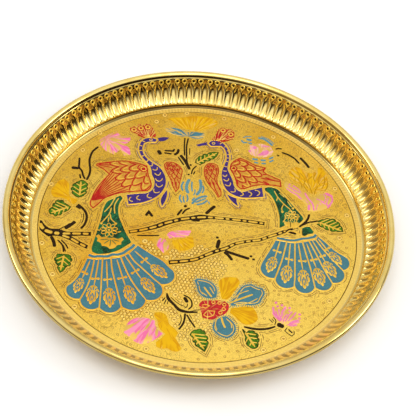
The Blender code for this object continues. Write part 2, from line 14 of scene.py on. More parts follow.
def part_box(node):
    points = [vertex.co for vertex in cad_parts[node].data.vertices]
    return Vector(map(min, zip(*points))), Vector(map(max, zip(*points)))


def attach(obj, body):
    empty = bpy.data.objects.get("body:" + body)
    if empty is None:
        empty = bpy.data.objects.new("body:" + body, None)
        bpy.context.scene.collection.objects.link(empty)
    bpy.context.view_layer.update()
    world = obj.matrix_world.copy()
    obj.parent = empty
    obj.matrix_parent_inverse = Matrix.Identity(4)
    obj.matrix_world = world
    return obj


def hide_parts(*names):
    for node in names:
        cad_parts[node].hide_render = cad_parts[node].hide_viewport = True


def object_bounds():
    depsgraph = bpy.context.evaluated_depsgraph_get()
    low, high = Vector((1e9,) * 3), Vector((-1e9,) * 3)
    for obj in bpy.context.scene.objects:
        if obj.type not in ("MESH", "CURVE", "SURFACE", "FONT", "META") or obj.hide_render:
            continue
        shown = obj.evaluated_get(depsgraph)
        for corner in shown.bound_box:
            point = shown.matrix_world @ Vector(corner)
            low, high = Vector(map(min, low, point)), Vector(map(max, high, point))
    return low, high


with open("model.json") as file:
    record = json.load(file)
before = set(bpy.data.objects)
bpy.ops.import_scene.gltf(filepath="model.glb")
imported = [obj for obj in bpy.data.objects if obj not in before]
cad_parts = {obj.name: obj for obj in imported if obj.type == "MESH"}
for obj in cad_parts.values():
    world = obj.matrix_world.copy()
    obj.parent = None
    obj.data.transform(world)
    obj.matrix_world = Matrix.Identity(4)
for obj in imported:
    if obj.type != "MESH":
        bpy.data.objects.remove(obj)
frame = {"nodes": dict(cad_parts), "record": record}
CAD_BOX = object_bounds()

MM = 0.001
NODES = frame["nodes"]

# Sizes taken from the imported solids, in millimetres
PLATE_RADIUS = -CAD_BOX[0][1] / MM
PLATE_HEIGHT = CAD_BOX[1][2] / MM
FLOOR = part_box("left_wing")[1].z / MM
WIRE_LOW, WIRE_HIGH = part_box("rim_wire")
ROLL_CENTRE_HEIGHT = (WIRE_LOW.z + WIRE_HIGH.z) / 2 / MM
ROLL_RADIUS = PLATE_HEIGHT - ROLL_CENTRE_HEIGHT
ROLL_CENTRE_RADIUS = PLATE_RADIUS - ROLL_RADIUS

# The pan's section
SHEET = FLOOR
FLOOR_RADIUS = 119.0
FRAME_LINE_RADIUS = 115.2
FRAME_LINE_HALF = 0.35
FRAME_LINE_DEPTH = 0.35
STEP_WIDTH = 2.6
STEP_HEIGHT = 3.0
STEP_ROWS = 7
WALL_TOP_RADIUS = 133.3
WALL_TOP_HEIGHT = FLOOR + 18.0
WALL_SLOPE = math.atan2(WALL_TOP_HEIGHT - FLOOR - STEP_HEIGHT, WALL_TOP_RADIUS - FLOOR_RADIUS - STEP_WIDTH)
WALL_SAG = 1.1
WALL_ROWS = 20
GROOVE_RADIUS = 134.5
GROOVE_LIFT = 0.75
ROLL_TURN = math.radians(300)
ROLL_INNER_ROWS = 8
ROLL_OUTER_ROWS = 17

# Flutes pressed into the wall, short and tall in turn
FLUTE_PAIRS = 66
POINTS_PER_FLUTE = 10
FLUTE_DEPTH = 1.0
RIB_SHARE = 0.24
RIB_HEIGHT = 0.26
TALL_TOP = 1.0
SHORT_TOP = 0.80
FLUTE_ARCH = 0.20
FLUTE_FOOT = 0.07

# Punched rings below the rim: their share of the wall's height, their slope and their pointed foot
RIM_RING_SHARE = 0.90
RIM_RING_SLOPE = math.radians(63)
RIM_RING_ZONE = 131.9
RIM_RING_FOOT = [(0.0, -4.2), (0.55, -3.0), (0.95, -1.9), (0.0, -1.6), (-0.95, -1.9), (-0.55, -3.0)]

# Camera, fitted to the plate's rim, groove and floor in the photo
FOCAL_PIXELS = 1500
FRAME_PIXELS = 416
SENSOR_WIDTH = 36.0
CAMERA_ELEVATION = math.radians(50.245)
CAMERA_ROLL = math.radians(7.476)
CAMERA_DISTANCE = 1082.889
CAMERA_ACROSS = -7.08
CAMERA_UP = -15.178

# Raised lines and patches
OUTLINE_WIDTH = 0.9
OUTLINE_HEIGHT = 0.18
ENAMEL_HEIGHT = 0.10
RAISED = FLOOR + ENAMEL_HEIGHT
LINE_ROOT = 0.12
END_TAPER = 0.45
CURVE_STEP = 0.7
CORNER_ANGLE = math.radians(50)
LONG_CHORD = 2.2
LAYER_STEP = 0.002
LAYERS = 6
DOT_SIDES = 12
RING_SIDES = 20

# Materials: shades that several share, the warmest place of the ground, the turn of the lit and dull
# sides, and how close the floor's curls and its milled edge are
PAINT_DEPTH = 0.72
WARM_GLOSS = (1.0, 0.80, 0.40, 1.0)
WARM_SHADE = (0.90, 0.68, 0.25)
WARM_CENTRE = (-40.0, -47.0)
# Colour of the painted shade on the brass, on its dull, far and near sides and in its hollows
SHADE_COLOUR = (0.10, 0.055, 0.013)
LIGHT_TURN = math.radians(60)
CURL_TURNS = 100.0
LEDGE_TICKS = 300.0


# Values in a material's nodes


def feed(socket, value):
    """Link a node's value to a socket, or set a number or colour on it."""
    if isinstance(value, Value):
        socket.id_data.links.new(value.socket, socket)
    elif isinstance(value, tuple) and len(value) == 3 and socket.type == "RGBA":
        socket.default_value = (*value, 1.0)
    else:
        socket.default_value = value


def add(tree, kind, inputs, output=0, **settings):
    """New node with its settings and inputs, as the value that one of its outputs gives."""
    node = tree.nodes.new(kind)
    for name, value in settings.items():
        setattr(node, name, value)
    for key, value in inputs.items():
        feed(node.inputs[key], value)
    return Value(node.outputs[output])


class Value:
    """Output of a node, with which ordinary arithmetic can be written."""

    def __init__(self, socket):
        self.socket = socket
        self.tree = socket.id_data

    def math(self, operation, other=0.0):
        return add(self.tree, "ShaderNodeMath", {0: self, 1: other}, operation=operation)

    def __add__(self, other):
        return self.math("ADD", other)

    def __sub__(self, other):
        return self.math("SUBTRACT", other)

    def __rsub__(self, other):
        return add(self.tree, "ShaderNodeMath", {0: other, 1: self}, operation="SUBTRACT")

    def __mul__(self, other):
        return self.math("MULTIPLY", other)

    def __abs__(self):
        return self.math("ABSOLUTE")

    def over(self, low, high, to_low=0.0, to_high=1.0):
        """The value from low to high turned into to_low to to_high, smoothly and held at the ends."""
        inputs = {0: self, 1: low, 2: high, 3: to_low, 4: to_high}
        return add(self.tree, "ShaderNodeMapRange", inputs, interpolation_type="SMOOTHSTEP")

    def blend(self, first, second):
        """The first colour where the value is 0, and the second where it is 1."""
        return add(self.tree, "ShaderNodeMix", {0: self, 6: first, 7: second}, 2, data_type="RGBA")

    def parts(self):
        """The x, y and z of a vector."""
        node = add(self.tree, "ShaderNodeSeparateXYZ", {0: self}).socket.node
        return [Value(output) for output in node.outputs]


class Finish:
    """Material in the making, with patterns that follow the object's own coordinates."""

    def __init__(self, name):
        self.material = bpy.data.materials.new(name)
        self.material.use_nodes = True
        self.tree = self.material.node_tree
        self.place = add(self.tree, "ShaderNodeTexCoord", {}, "Object")

    def noise(self, size, detail=3.0, distortion=0.0):
        """Cloudy noise whose patches are about size millimetres across."""
        inputs = {"Vector": self.place, "Scale": 1 / (size * MM), "Detail": detail, "Distortion": distortion}
        return add(self.tree, "ShaderNodeTexNoise", inputs)

    def cells(self, size):
        """Distance to the nearest of scattered points about size millimetres apart."""
        inputs = {"Vector": self.place, "Scale": 1 / (size * MM)}
        return add(self.tree, "ShaderNodeTexVoronoi", inputs, "Distance")

    def polar(self, centre=(0.0, 0.0)):
        """Distance in millimetres from a point of the floor, and the angle round it."""
        x, y = (part * (1 / MM) - middle for part, middle in zip(self.place.parts(), centre))
        return (x * x + y * y).math("SQRT"), y.math("ARCTAN2", x)

    def warmth(self):
        """Share of the deeper amber ground, round the lower left fan and the middle."""
        distance = self.polar(WARM_CENTRE)[0]
        return distance.over(66.0, 34.0) * self.noise(18).over(0.34, 0.56, 0.35, 1.0)

    def streaks(self, root, reach, width, seed):
        """Noise drawn out into streaks from a root, width millimetres wide at the reach."""
        distance, angle = self.polar(root)
        inputs = {0: angle * (reach / width), 1: distance * (1 / (7 * width)), 2: seed}
        inputs = {"Vector": add(self.tree, "ShaderNodeCombineXYZ", inputs), "Scale": 0.75,
                  "Detail": 2.0, "Distortion": 0.3}
        return add(self.tree, "ShaderNodeTexNoise", inputs)

    def bump(self, height, depth, strength):
        inputs = {"Height": height, "Distance": depth * MM, "Strength": strength}
        return add(self.tree, "ShaderNodeBump", inputs)

    def done(self, settings):
        """The material, with the inputs of its shader set."""
        for name, value in settings.items():
            feed(self.tree.nodes["Principled BSDF"].inputs[name], value)
        return self.material


def brass_floor():
    """Satin brass with stipple, deeper where the ground is worked, and milled at the edge."""
    finish = Finish("satin_brass")
    radius, angle = finish.polar()
    field = finish.noise(30, 2.0).over(0.40, 0.62).blend((0.96, 0.645, 0.10), (0.89, 0.555, 0.06))
    field = finish.warmth().blend(field, (0.84, 0.45, 0.035))
    # Painted light and shade: brighter towards the lower right, darker towards the upper left, marks fainter
    # where lit
    lit_side = (angle + LIGHT_TURN).math("COSINE") * radius
    field = lit_side.over(-10.0, 80.0, 0.0, 0.85).blend(field, (1.0, 0.72, 0.14))
    field = lit_side.over(-20.0, -90.0, 0.0, 0.10).blend(field, SHADE_COLOUR)
    marks = lit_side.over(-10.0, 80.0, 1.0, 0.5)
    grain = finish.noise(1.0).over(0.40, 0.60)
    field = (grain * 0.42 * marks).blend(field, (0.50, 0.28, 0.04))
    pits = finish.cells(1.25).over(0.36, 0.14) * finish.noise(12, 2.0).over(0.40, 0.58, 0.25, 0.85)
    field = (pits * marks).blend(field, (0.36, 0.19, 0.03))
    curls = (finish.noise(9, 1.0, 0.8) * CURL_TURNS).math("SINE").over(0.45, 0.95)
    curls = curls * finish.noise(17, 2.0).over(0.44, 0.60, 0.15, 0.65) * radius.over(50.0, 90.0, 0.15, 1.0)
    field = curls.blend(field, (0.42, 0.23, 0.035))
    # Tick marks of the ledge, drawn darker towards the far side as painted shade
    ticks = (angle * LEDGE_TICKS).math("SINE").over(-1.0, 1.0) * angle.math("SINE").over(-0.2, 0.7, 0.08, 0.40)
    ledge = ticks.blend((0.93, 0.67, 0.17), (0.60, 0.37, 0.07))
    colour = radius.over(FRAME_LINE_RADIUS - 0.1, FRAME_LINE_RADIUS + 0.2).blend(field, ledge)
    frame_line = abs(radius - FRAME_LINE_RADIUS).over(0.45, 0.15, 0.0, 0.85)
    return finish.done({
        "Base Color": frame_line.blend(colour, (0.16, 0.09, 0.02)), "Metallic": 1.0,
        "Roughness": finish.noise(3.0).over(0.3, 0.7, 0.34, 0.46),
        "Normal": finish.bump(grain + (pits * -2.0 + curls * -1.2), 0.07, 0.9)})


def brass_polished():
    """Polished brass of the wall and rim with painted shade, and a satin near wall painted as reflection."""
    finish = Finish("polished_brass")
    radius, angle = finish.polar()
    far_side = angle.math("SINE")
    dull_side = (angle - LIGHT_TURN).math("SINE")
    near_wall = far_side.over(-0.25, -0.75) * radius.over(GROOVE_RADIUS - 0.6, GROOVE_RADIUS - 1.6)
    colour = finish.noise(12, 4.0).over(0.35, 0.70).blend((0.94, 0.74, 0.27), (0.89, 0.65, 0.18))
    # Painted reflection: the near wall is painted more orange, and its Metallic is halved below
    colour = near_wall.blend(colour, (1.0, 0.69, 0.20))
    # Painted shade: a dark line in the groove, deepest on the dull side
    groove = abs(radius - GROOVE_RADIUS).over(0.8, 0.2) * dull_side.over(-0.2, 0.8, 0.3, 0.88)
    # Painted shade: a dark band at the step, on the far side
    step = abs(radius - (FLOOR_RADIUS + 0.55 * STEP_WIDTH)).over(1.2, 0.8)
    step = step * far_side.over(0.45, 0.95, 0.25, 0.97)
    # Painted shade over the zone of the rim rings, cloudy and deepest on the dull side
    rings = abs(radius - RIM_RING_ZONE).over(2.4, 1.2) * finish.noise(3.0).over(0.3, 0.6, 0.3, 0.7)
    rings = rings * dull_side.over(-0.4, 0.7, 0.20, 1.0)
    # Painted shade on the outer rim and on the bead, on the near side
    outer = radius.over(PLATE_RADIUS - 1.8, PLATE_RADIUS - 0.6) * far_side.over(0.3, -0.6, 0.15, 0.50)
    bead = radius.over(GROOVE_RADIUS + 0.2, GROOVE_RADIUS + 0.8) * far_side.over(0.0, -0.6, 0.0, 0.15)
    # Painted shade: dark stripes in the flute hollows of the near wall
    flutes = (angle * (2.0 * FLUTE_PAIRS)).math("COSINE").over(0.7, -0.6, 0.0, 0.66)
    flutes = flutes * near_wall * radius.over(FLOOR_RADIUS + 0.6, FLOOR_RADIUS + 2.2)
    # The painted shade is the deepest of these, blended towards the shade colour
    painted_shade = groove
    for hollow in (step, rings, outer, bead, flutes):
        painted_shade = painted_shade.math("MAXIMUM", hollow)
    return finish.done({
        "Base Color": painted_shade.blend(colour, SHADE_COLOUR), "Metallic": near_wall.over(0.0, 1.0, 1.0, 0.5),
        "Roughness": finish.noise(2.0, 4.0).over(0.3, 0.7, 0.09, 0.16),
        "Normal": finish.bump(finish.noise(1.6, 2.0), 0.015, 0.4)})


def brass_line(name, colour, tint, rough=0.32, metal=0.9, warm=True):
    """Raised or cut brass of the drawn lines, deeper where the ground is if warm."""
    finish = Finish(name)
    shade = finish.noise(2.2).over(0.35, 0.65).blend(colour, tint)
    if warm:
        shade = finish.warmth().blend(shade, tuple(c * k for c, k in zip(colour, WARM_SHADE)))
    return finish.done({"Base Color": shade, "Metallic": metal, "Roughness": rough,
                        "Normal": finish.bump(finish.noise(0.7), 0.02, 0.5)})


def streaky_paint(name, paint, deep, root, reach, width, bare):
    """Enamel brushed on in streaks from a root, with the brass showing between them."""
    finish = Finish(name)
    painted = finish.streaks(root, reach, width, 1.7 * len(name)).over(bare - 0.04, bare + 0.05)
    second = finish.streaks(root, reach, 0.8 * width, 2.9 * len(name)).over(0.42, 0.60)
    return finish.done({
        "Base Color": painted.blend((0.84, 0.55, 0.13), second.blend(paint, deep)),
        "Metallic": 1.0 - painted, "Roughness": 0.40, "Specular IOR Level": 0.12,
        "Specular Tint": WARM_GLOSS, "Normal": finish.bump(painted, 0.08, 0.8)})


def enamel(name, base, deep, pale, patch=7.0, share=0.5, shine=0.28, metal=0.0):
    """Glossy lacquer with cloudy depth and fine specks."""
    finish = Finish(name)
    base, deep, pale = (tuple(PAINT_DEPTH * c for c in colour) for colour in (base, deep, pale))
    colour = finish.noise(patch, 4.0).over(0.38, 0.66, 0.0, share).blend(base, deep)
    colour = finish.noise(0.8, 2.0).over(0.52, 0.70, 0.0, 0.6).blend(colour, pale)
    return finish.done({
        "Base Color": colour, "Roughness": finish.noise(4.0).over(0.3, 0.7, 0.34, 0.50),
        "Specular IOR Level": shine, "Specular Tint": WARM_GLOSS, "Metallic": metal,
        "Normal": finish.bump(finish.noise(1.4), 0.03, 0.6)})


LOOKS = {
    "floor": brass_floor(),
    "wall": brass_polished(),
    "gold": brass_line("line_gold", (0.90, 0.585, 0.09), (0.82, 0.48, 0.045)),
    "cut": brass_line("engraved_brass", (0.36, 0.205, 0.045), (0.25, 0.13, 0.025), 0.45),
    "bead": brass_line("rim_bead_brass", (1.0, 0.72, 0.12), (0.94, 0.60, 0.07), 0.25, 0.6, False),
    "pale_gold": brass_line("pale_gold", (1.0, 0.74, 0.20), (0.95, 0.64, 0.12), 0.34, 0.9, False),
    "punched": brass_line("punched_brass", (0.60, 0.37, 0.08), (0.48, 0.26, 0.05), 0.4, 0.9, False),
    "steel": brass_line("wire_steel", (0.55, 0.55, 0.56), (0.42, 0.42, 0.43)),
    "copper": enamel("coppery_ground", (0.90, 0.47, 0.060), (0.76, 0.21, 0.035), (0.97, 0.60, 0.11),
                     4.0, 0.8, 0.3, 0.6),
    "dark": enamel("dark_line", (0.030, 0.015, 0.006), (0.012, 0.006, 0.003), (0.08, 0.045, 0.015),
                   3.0, 0.5, 0.10),
    "indigo": enamel("indigo_enamel", (0.052, 0.026, 0.235), (0.024, 0.011, 0.11), (0.12, 0.07, 0.34),
                     shine=0.2),
    "red": enamel("red_enamel", (0.58, 0.018, 0.014), (0.38, 0.008, 0.012), (0.72, 0.08, 0.03),
                  4.0, 0.5, 0.10),
    "emerald": enamel("emerald_enamel", (0.007, 0.145, 0.052), (0.003, 0.030, 0.014), (0.040, 0.38, 0.16),
                      6.0, 1.0, 0.2),
    "light_blue": enamel("blue_enamel", (0.070, 0.240, 0.305), (0.050, 0.172, 0.225), (0.14, 0.34, 0.38),
                         shine=0.18),
    "pale_blue": enamel("pale_blue_enamel", (0.13, 0.33, 0.40), (0.09, 0.25, 0.32), (0.25, 0.45, 0.50),
                        4.0, shine=0.18),
    "leaf_green": enamel("green_enamel", (0.060, 0.225, 0.010), (0.016, 0.075, 0.005), (0.32, 0.50, 0.03),
                         3.0, 1.0, 0.15),
    "yellow": enamel("yellow_enamel", (0.84, 0.50, 0.012), (0.70, 0.33, 0.010), (0.92, 0.64, 0.10), 5.0),
    "amber": enamel("amber_enamel", (0.62, 0.32, 0.006), (0.45, 0.20, 0.004), (0.74, 0.42, 0.02),
                    4.0, shine=0.12),
    "pink": enamel("pink_enamel", (1.0, 0.26, 0.52), (0.88, 0.15, 0.38), (1.0, 0.52, 0.70), 5.0),
}


# Curves in the plane of the floor


def turned(before, after):
    """How far the path turns from one step to the next."""
    cross = before[0] * after[1] - before[1] * after[0]
    return abs(math.atan2(cross, before[0] * after[0] + before[1] * after[1]))


def smooth(points, closed=False, step=CURVE_STEP):
    """Smooth curve through the points, keeping the corners that turn sharply."""
    points = [np.array(p, float) for p in points]
    count = len(points)
    spans = count if closed else count - 1
    chords = [points[(i + 1) % count] - points[i] for i in range(spans)]
    lengths = [max(np.hypot(*chord), 1e-6) for chord in chords]

    def direction(i, side):
        """Unit tangent at point i, towards the span on the given side (0 ahead, -1 behind)."""
        ahead, behind = i, i - 1
        if not closed and (i == 0 or i == count - 1):
            use = ahead if i == 0 else behind
            return chords[use] / lengths[use]
        ahead %= spans
        behind %= spans
        if turned(chords[behind], chords[ahead]) > CORNER_ANGLE:
            use = ahead if side == 0 else behind
            return chords[use] / lengths[use]
        short, long = sorted((ahead, behind), key=lambda span: lengths[span])
        if lengths[long] > LONG_CHORD * lengths[short]:
            return chords[long] / lengths[long]
        mean = (chords[behind] / lengths[behind] ** 2) + (chords[ahead] / lengths[ahead] ** 2)
        return mean / np.hypot(*mean)

    result = []
    for i in range(spans):
        start = points[i]
        end = points[(i + 1) % count]
        leave = direction(i, 0) * lengths[i]
        arrive = direction((i + 1) % count if closed else i + 1, -1) * lengths[i]
        parts = max(1, int(round(lengths[i] / step)))
        for k in range(parts):
            t = k / parts
            a, b = 2 * t ** 3 - 3 * t ** 2 + 1, t ** 3 - 2 * t ** 2 + t
            c, d = -2 * t ** 3 + 3 * t ** 2, t ** 3 - t ** 2
            result.append(tuple(a * start + b * leave + c * end + d * arrive))
    if not closed:
        result.append(tuple(points[-1]))
    return result


def offset(points, distance, closed=False):
    """Points moved to the left of their path, with corners held to a short mitre."""
    path = np.array(points, float)
    steps = np.roll(path, -1, axis=0) - path
    steps /= np.maximum(np.hypot(steps[:, 0], steps[:, 1]), 1e-9)[:, None]
    normals = np.stack([-steps[:, 1], steps[:, 0]], axis=1)
    before = np.roll(normals, 1, axis=0)
    if not closed:
        normals[-1] = normals[-2]
        before[0] = normals[0]
    scale = np.maximum(1 + (normals * before).sum(axis=1), 0.6)
    distance = np.broadcast_to(np.asarray(distance, float), len(path))
    return path + (normals + before) * (distance / scale)[:, None]


def signed_area(path):
    """Twice the area inside a closed path, above 0 where it runs anticlockwise."""
    x, y = np.array(path).T
    return (x * np.roll(y, -1) - np.roll(x, -1) * y).sum()


def inside(points, outline):
    """Which of the points lie inside a closed outline."""
    x, y = np.array(points, float).T[:, :, None]
    a = np.array(outline)
    b = np.roll(a, -1, axis=0)
    spans = (a[:, 1] > y) != (b[:, 1] > y)
    rise = np.where(a[:, 1] == b[:, 1], 1e-9, b[:, 1] - a[:, 1])
    crossing = x < a[:, 0] + (b[:, 0] - a[:, 0]) / rise * (y - a[:, 1])
    return (spans & crossing).sum(axis=1) % 2 == 1


def nearest(points, path):
    """Distance from each point to the nearest point of a path."""
    gaps = np.array(points)[:, None] - np.array(path)
    return np.hypot(gaps[..., 0], gaps[..., 1]).min(axis=1)


def between(start, end, shares):
    """Points at the given shares of the way from start to end."""
    start = np.array(start, float)
    return start + np.outer(shares, np.array(end) - start)


def spoke(centre, radius, angle):
    """Point at a distance and angle from a centre."""
    return (centre[0] + radius * math.cos(angle), centre[1] + radius * math.sin(angle))


def circle(centre, radius, count, stretch=1.0, tilt=0.0):
    """Points round an ellipse whose first half-axis is radius times stretch, at a tilt."""
    points = []
    for i in range(count):
        angle = 2 * math.pi * i / count
        side = spoke(centre, radius * stretch * math.cos(angle), tilt)
        points.append(spoke(side, radius * math.sin(angle), tilt + math.pi / 2))
    return points


def lobed(outline, lobes, notch, ends):
    """Outline cut in by the notch between rounded lobes, but not near its two ends."""
    path = smooth(outline, True, 0.5)
    steps = [math.dist(a, b) for a, b in zip(path, path[1:] + path[:1])]
    along = np.cumsum([0.0] + steps[:-1]) / sum(steps)
    cut = notch * (1 - np.abs(np.sin(math.pi * lobes * along))) ** 1.5
    return offset(path, cut * np.clip((nearest(path, ends) - 3.0) / 3.0, 0, 1), True)


def stretches(path, keep, least=3):
    """The runs of neighbouring points that are kept, each of at least so many points."""
    run = []
    for point, wanted in zip(list(path) + [path[-1]], list(keep) + [False]):
        if wanted:
            run.append(tuple(point))
        else:
            if len(run) >= least:
                yield run
            run = []


def node_outline(name):
    """Outline of an enamel node's upper face, anticlockwise, in millimetres."""
    mesh = NODES[name].data
    top = max(v.co.z for v in mesh.vertices)
    key = [(round(v.co.x / MM, 3), round(v.co.y / MM, 3)) for v in mesh.vertices]
    level = [top - v.co.z < 0.01 * MM for v in mesh.vertices]
    edges = {}
    for face in mesh.polygons:
        loop = list(face.vertices)
        if all(level[v] for v in loop):
            edges |= {(key[a], key[b]): True for a, b in zip(loop, loop[1:] + loop[:1])}
    ahead = {a: b for a, b in edges if (b, a) not in edges}
    outline = [next(iter(ahead))]
    while ahead[outline[-1]] != outline[0]:
        outline.append(ahead[outline[-1]])
    return outline if signed_area(outline) > 0 else outline[::-1]


# Pieces


def loft(rows, sides, first=0, closed=False):
    """Faces over rows of points with so many sides each, capped at both ends unless closed."""
    faces = []
    for row in range(rows if closed else rows - 1):
        a = first + row * sides
        b = first + (row + 1) % rows * sides
        faces += [(a + j, a + (j + 1) % sides, b + (j + 1) % sides, b + j) for j in range(sides)]
    if not closed:
        last = first + (rows - 1) * sides
        faces.append(tuple(reversed(range(first, first + sides))))
        faces.append(tuple(range(last, last + sides)))
    return faces


def add_piece(name, points, faces, material, slot, smooth_angle=40):
    mesh = bpy.data.meshes.new(name)
    mesh.from_pydata([tuple(c * MM for c in p) for p in points], [], faces)
    mesh.shade_smooth()
    mesh.set_sharp_from_angle(angle=math.radians(smooth_angle))
    mesh.materials.append(material)
    piece = bpy.data.objects.new(name, mesh)
    bpy.context.scene.collection.objects.link(piece)
    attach(piece, "root")
    return piece


class Relief:
    """Gathers raised lines and patches that stand on one base and become one piece."""

    def __init__(self, base=RAISED, shapes=0):
        self.base = base
        self.shapes = shapes
        self.points = []
        self.faces = []

    def layer(self):
        """Small height that keeps shapes which cross each other from lying in one plane."""
        self.shapes += 1
        return LAYER_STEP * (self.shapes % LAYERS)

    def skin(self, rows, closed=False):
        """Surface over rows of points, each with its height above the base."""
        self.faces += loft(len(rows), len(rows[0]), len(self.points), closed)
        self.points += [(x, y, self.base + up) for row in rows for x, y, up in row]

    def line(self, path, width, height=0.14, closed=False, curve=True, lift=0.0):
        """Rounded ridge along a path, which tapers at its open ends."""
        height += self.layer()
        if len(path) == 2:
            path = between(*path, (0.0, 0.15, 0.85, 1.0))
        elif curve:
            path = smooth(path, closed)
        taper = np.ones(len(path))
        if not closed:
            taper[0] = taper[-1] = END_TAPER
        section = ((-0.5, -LINE_ROOT), (-0.5, 0.25 * height), (-0.22, height),
                   (0.22, height), (0.5, 0.25 * height), (0.5, -LINE_ROOT))
        rails = [offset(path, across * width * taper, closed) for across, up in section]
        self.skin([[(*rail[i], lift + up) for rail, (across, up) in zip(rails, section)]
                   for i in range(len(path))], closed)

    def lines(self, rows, height=0.14, lift=0.0):
        """Open lines, each given as its width and its points."""
        for width, path in rows:
            self.line(path, width, height, lift=lift)

    def patch(self, outline, height=0.12, edge=0.22, curve=True, lift=0.0):
        """Low pad with a rounded edge, inside a closed outline."""
        height += self.layer()
        path = smooth(outline, True) if curve else outline
        if signed_area(path) < 0:
            path = path[::-1]
        levels = ((0.0, -LINE_ROOT), (0.0, 0.3 * height), (edge, height))
        self.skin([[(x, y, lift + up) for x, y in offset(path, inset, True)] for inset, up in levels])

    def dot(self, centre, radius, height=0.14, stretch=1.0, tilt=0.0, lift=0.0):
        self.patch(circle(centre, radius, DOT_SIDES, stretch, tilt), height, 0.25 * radius, False, lift)

    def ring(self, centre, radius, width, height=0.14, stretch=1.0, tilt=0.0):
        count = RING_SIDES if radius > 1.2 else DOT_SIDES
        self.line(circle(centre, radius, count, stretch, tilt), width, height, True, False)

    def piece(self, name, material, slot):
        return add_piece(name, self.points, self.faces, material, slot)


# The brass pan


def wall_point(share):
    """Radius and height on the wall's inner face, from its foot (0) to its top (1)."""
    foot = (FLOOR_RADIUS + STEP_WIDTH, FLOOR + STEP_HEIGHT)
    rise = WALL_TOP_HEIGHT - foot[1]
    run = WALL_TOP_RADIUS - foot[0]
    length = math.hypot(rise, run)
    sag = WALL_SAG * 4 * share * (1 - share)
    return (foot[0] + share * run + sag * rise / length, foot[1] + share * rise - sag * run / length)


def ramp(value, low, high):
    """Share of the way from low to high, smoothly and held at the ends."""
    share = min(max((value - low) / (high - low), 0.0), 1.0)
    return share * share * (3 - 2 * share)


def flute_depth(share, across, tall):
    """Depth of a flute at a share of the wall's height; across is -1 to 1 over its width."""
    top = TALL_TOP if tall else SHORT_TOP
    width = (1 - RIB_SHARE) * (1 - (0.36 if tall else 0.10) * ramp(share, 0.60, 0.80))
    arch = max(0.0, (share - (top - FLUTE_ARCH)) / FLUTE_ARCH)
    foot = max(0.0, (FLUTE_FOOT - share) / FLUTE_FOOT)
    left = 1 - (across / width) ** 2 - arch * arch - 0.8 * foot * foot
    spoon = 0.62 + 0.38 * math.sin(math.pi * min(share / top, 1.0))
    rib = max(0.0, 1 - ((1 - abs(across)) / RIB_SHARE) ** 2)
    rib *= ramp(share, 0.0, 0.05) * ramp(share, 0.84, 0.72)
    return FLUTE_DEPTH * spoon * max(0.0, left) ** 0.8 - RIB_HEIGHT * rib


def roll_points(radius, rows):
    """Points round the rolled rim, from where the sheet enters it to its loose end."""
    return [(*spoke((ROLL_CENTRE_RADIUS, ROLL_CENTRE_HEIGHT), radius, math.pi - ROLL_TURN * i / rows), None)
            for i in range(1, rows + 1)]


def pan_rings():
    """The pan's section as (radius, height, share of the wall or None), from under its middle."""
    groove = WALL_TOP_HEIGHT + GROOVE_LIFT
    inner = []
    for i in range(STEP_ROWS):
        angle = math.pi / 2 * i / STEP_ROWS
        inner.append((FLOOR_RADIUS + STEP_WIDTH * math.sin(angle),
                      FLOOR + STEP_HEIGHT * (1 - math.cos(angle)), None))
    inner += [(*wall_point(i / WALL_ROWS), i / WALL_ROWS) for i in range(WALL_ROWS + 1)]
    inner.append((GROOVE_RADIUS - 0.5, groove, None))
    across, down = SHEET * math.sin(WALL_SLOPE), SHEET * math.cos(WALL_SLOPE)
    outer = [(radius + across, max(height - down, 0.0), share) for radius, height, share in inner[2::2]]
    line = [(FRAME_LINE_RADIUS + FRAME_LINE_HALF * side, FLOOR - FRAME_LINE_DEPTH * (side == 0), None)
            for side in (1, 0, -1)]
    return [(FLOOR_RADIUS + 0.5 * SHEET, 0.0, None), *outer,
            *roll_points(ROLL_RADIUS - SHEET, ROLL_INNER_ROWS),
            *roll_points(ROLL_RADIUS, ROLL_OUTER_ROWS)[::-1], (GROOVE_RADIUS, groove, None),
            *inner[::-1], *line]


def add_pan():
    """The pan with every flute, pressed outwards square to the wall's slope."""
    steps = 2 * FLUTE_PAIRS * POINTS_PER_FLUTE
    angles = 2 * np.pi * np.arange(steps) / steps
    places = [2 * i / POINTS_PER_FLUTE - 1 for i in range(POINTS_PER_FLUTE)]
    rings = pan_rings()
    points = []
    for radius, height, share in rings:
        depth = np.zeros(steps)
        if share is not None:
            period = [flute_depth(share, across, tall) for tall in (True, False) for across in places]
            depth = np.tile(period, FLUTE_PAIRS)
        reach = radius + depth * math.sin(WALL_SLOPE)
        points += zip(reach * np.cos(angles), reach * np.sin(angles), height - depth * math.cos(WALL_SLOPE))
    pan = add_piece("fluted_pan", points, loft(len(rings), steps), LOOKS["wall"], "brass", 38)
    pan.data.materials.append(LOOKS["floor"])
    ledge_faces = 3 * steps
    for face in list(pan.data.polygons)[-ledge_faces - 2:]:
        face.material_index = 1
    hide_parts("thali_pan")


